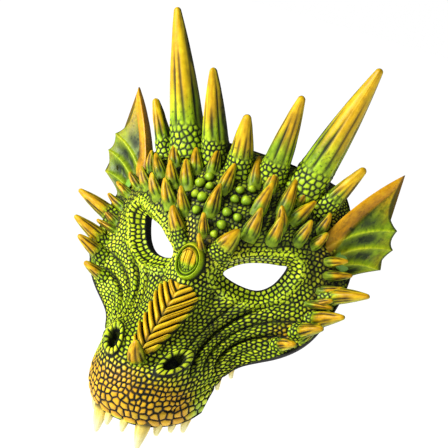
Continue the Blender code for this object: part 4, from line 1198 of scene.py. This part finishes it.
def moulded_plastic(name, colour, rough, coat):
    """Injection-moulded plastic: faint streaks of shade, a fine sparkle-ground bump, a clear
    gloss."""
    plastic = bpy.data.materials.new(name)
    plastic.use_nodes = True
    tree = plastic.node_tree
    shader = tree.nodes["Principled BSDF"]
    place = tree.nodes.new("ShaderNodeTexCoord")
    cloud = tree.nodes.new("ShaderNodeTexNoise")
    cloud.inputs["Scale"].default_value = 160.0
    tree.links.new(place.outputs["Object"], cloud.inputs["Vector"])
    tone = tree.nodes.new("ShaderNodeValToRGB")
    tone.color_ramp.elements[0].color = (*(0.72 * c for c in colour), 1)
    tone.color_ramp.elements[1].color = (*(min(1.0, 1.25 * c) for c in colour), 1)
    tree.links.new(cloud.outputs["Fac"], tone.inputs["Fac"])
    tree.links.new(tone.outputs["Color"], shader.inputs["Base Color"])
    dent = tree.nodes.new("ShaderNodeBump")
    dent.inputs["Strength"].default_value = 0.08
    dent.inputs["Distance"].default_value = 0.0002
    tree.links.new(cloud.outputs["Fac"], dent.inputs["Height"])
    tree.links.new(dent.outputs["Normal"], shader.inputs["Normal"])
    shader.inputs["Roughness"].default_value = rough
    shader.inputs["Coat Weight"].default_value = coat
    shader.inputs["Coat Roughness"].default_value = 0.12
    return plastic


cap_plastic = moulded_plastic("green_button_plastic", (0.22, 0.48, 0.045), 0.4, 0.25)
back_plastic = moulded_plastic("black_button_plastic", (0.018, 0.018, 0.018), 0.45, 0.1)
for tag in ("l", "r"):
    for node, plastic in (("snap_cap_" + tag, cap_plastic), ("snap_back_" + tag, back_plastic)):
        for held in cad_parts[node].material_slots:
            held.material = plastic

# --- Elastic strap -------------------------------------------------------------------------
# Flat black woven elastic runs round the back of the head from one snap button to the other,
# with a plastic ring at each end.
BAND_HALF = (5.0, 0.6)
RING_AT = (73.021, 28.918, 21.861)
LEAD = (0.655, 0.756)
WRAP = [(81.6, 49.0), (77.0, 70.0), (63.0, 97.0), (38.0, 116.0), (0.0, 124.0)]
elastic = bpy.data.materials.new("woven_elastic")
elastic.use_nodes = True
tree = elastic.node_tree
shader = tree.nodes["Principled BSDF"]
trait_nodes = {}
for word in ("along", "across"):
    trait_nodes[word] = tree.nodes.new("ShaderNodeAttribute")
    trait_nodes[word].attribute_name = word
waves = []
for word, pitch in (("along", 0.9), ("across", 0.75)):
    turns = tree.nodes.new("ShaderNodeMath")
    turns.operation = 'MULTIPLY'
    turns.inputs[1].default_value = 2 * np.pi / pitch
    tree.links.new(trait_nodes[word].outputs["Fac"], turns.inputs[0])
    wave = tree.nodes.new("ShaderNodeMath")
    wave.operation = 'SINE'
    tree.links.new(turns.outputs[0], wave.inputs[0])
    waves.append(wave)
weave = tree.nodes.new("ShaderNodeMath")
weave.operation = 'MULTIPLY'
tree.links.new(waves[0].outputs[0], weave.inputs[0])
tree.links.new(waves[1].outputs[0], weave.inputs[1])
tone = tree.nodes.new("ShaderNodeValToRGB")
tone.color_ramp.elements[0].color = (0.006, 0.006, 0.007, 1)
tone.color_ramp.elements[1].color = (0.045, 0.045, 0.048, 1)
tree.links.new(weave.outputs[0], tone.inputs["Fac"])
tree.links.new(tone.outputs["Color"], shader.inputs["Base Color"])
dent = tree.nodes.new("ShaderNodeBump")
dent.inputs["Strength"].default_value = 0.6
dent.inputs["Distance"].default_value = 0.0003
tree.links.new(weave.outputs[0], dent.inputs["Height"])
tree.links.new(dent.outputs["Normal"], shader.inputs["Normal"])
shader.inputs["Roughness"].default_value = 0.7
shader.inputs["Sheen Weight"].default_value = 0.3

near = [(RING_AT[0] + LEAD[0] * k - LEAD[1] * w, RING_AT[1] + LEAD[1] * k + LEAD[0] * w)
        for k, w in ((3.0, 0.3), (7.0, 1.0), (11.0, 1.4))]
half_path = np.array(near + WRAP)
path = np.concatenate([half_path, (half_path * (-1, 1))[-2::-1]])
knots = np.concatenate([[0], np.cumsum(np.linalg.norm(np.diff(path, axis=0), axis=1))])


def smooth_through(knots, path, at):
    """Piecewise cubic through the path points with Catmull-Rom slopes at uneven knots."""
    slope = np.gradient(path, knots, axis=0)
    i = np.clip(np.searchsorted(knots, at, side="right") - 1, 0, len(knots) - 2)
    h = (knots[i + 1] - knots[i])[:, None]
    s = ((at - knots[i])[:, None]) / h
    return ((2 * s ** 3 - 3 * s ** 2 + 1) * path[i] + (s ** 3 - 2 * s ** 2 + s) * h * slope[i]
            + (3 * s ** 2 - 2 * s ** 3) * path[i + 1] + (s ** 3 - s ** 2) * h * slope[i + 1])


at = np.linspace(0, knots[-1], 520)
line = smooth_through(knots, path, at)
way = unit(np.gradient(line, axis=0))
outward = np.stack([way[:, 1], -way[:, 0]], 1)
end = np.minimum(at, knots[-1] - at)
wide = BAND_HALF[0] * (0.36 + 0.64 * ease(3, 17, end))
turn = np.arange(44) * 2 * np.pi / 44
rounded = np.sign(np.cos(turn)) * np.abs(np.cos(turn)) ** 0.35
flat = np.sign(np.sin(turn)) * np.abs(np.sin(turn)) ** 0.8
edge_bead = 1 + 0.25 * np.exp(-((np.abs(rounded) - 0.93) / 0.05) ** 2)
z = RING_AT[2] + wide[:, None] * rounded[None]
offset = BAND_HALF[1] * (flat * edge_bead)[None] + 0 * z
band = np.stack([line[:, :1] + outward[:, :1] * offset, line[:, 1:] + outward[:, 1:] * offset, z],
                -1)
piece = to_mesh("elastic_strap", band, {"along": at[:, None] + 0 * z,
                                        "across": wide[:, None] * rounded[None]},
                around=True, caps=(True, True))
finish_piece(piece, elastic, body="strap", stands_for=("elastic_strap",))

for side, tag in ((1, "l"), (-1, "r")):
    facing = out_of(side * BUTTON[0], BUTTON[1])
    level = unit(np.cross((0.0, 0.0, 1.0), facing))
    rise = np.cross(facing, level)
    turn, tube = np.meshgrid(np.arange(96) * 2 * np.pi / 96, np.arange(20) * 2 * np.pi / 20,
                             indexing="ij")
    across = 3.95 + 1.0 * np.sign(np.cos(tube)) * np.abs(np.cos(tube)) ** 0.6
    thick = 0.75 * np.sign(np.sin(tube)) * np.abs(np.sin(tube)) ** 0.6
    centre = np.array(RING_AT) * (side, 1, 1)
    ring = centre + (across * np.cos(turn))[..., None] * level + (across * np.sin(turn))[...,
                                                                                         None] * rise
    ring = ring + thick[..., None] * facing
    ring = np.concatenate([ring, ring[:1]])
    piece = to_mesh("strap_ring_" + tag, ring, {}, around=True, flip=True)
    finish_piece(piece, back_plastic, body="strap")
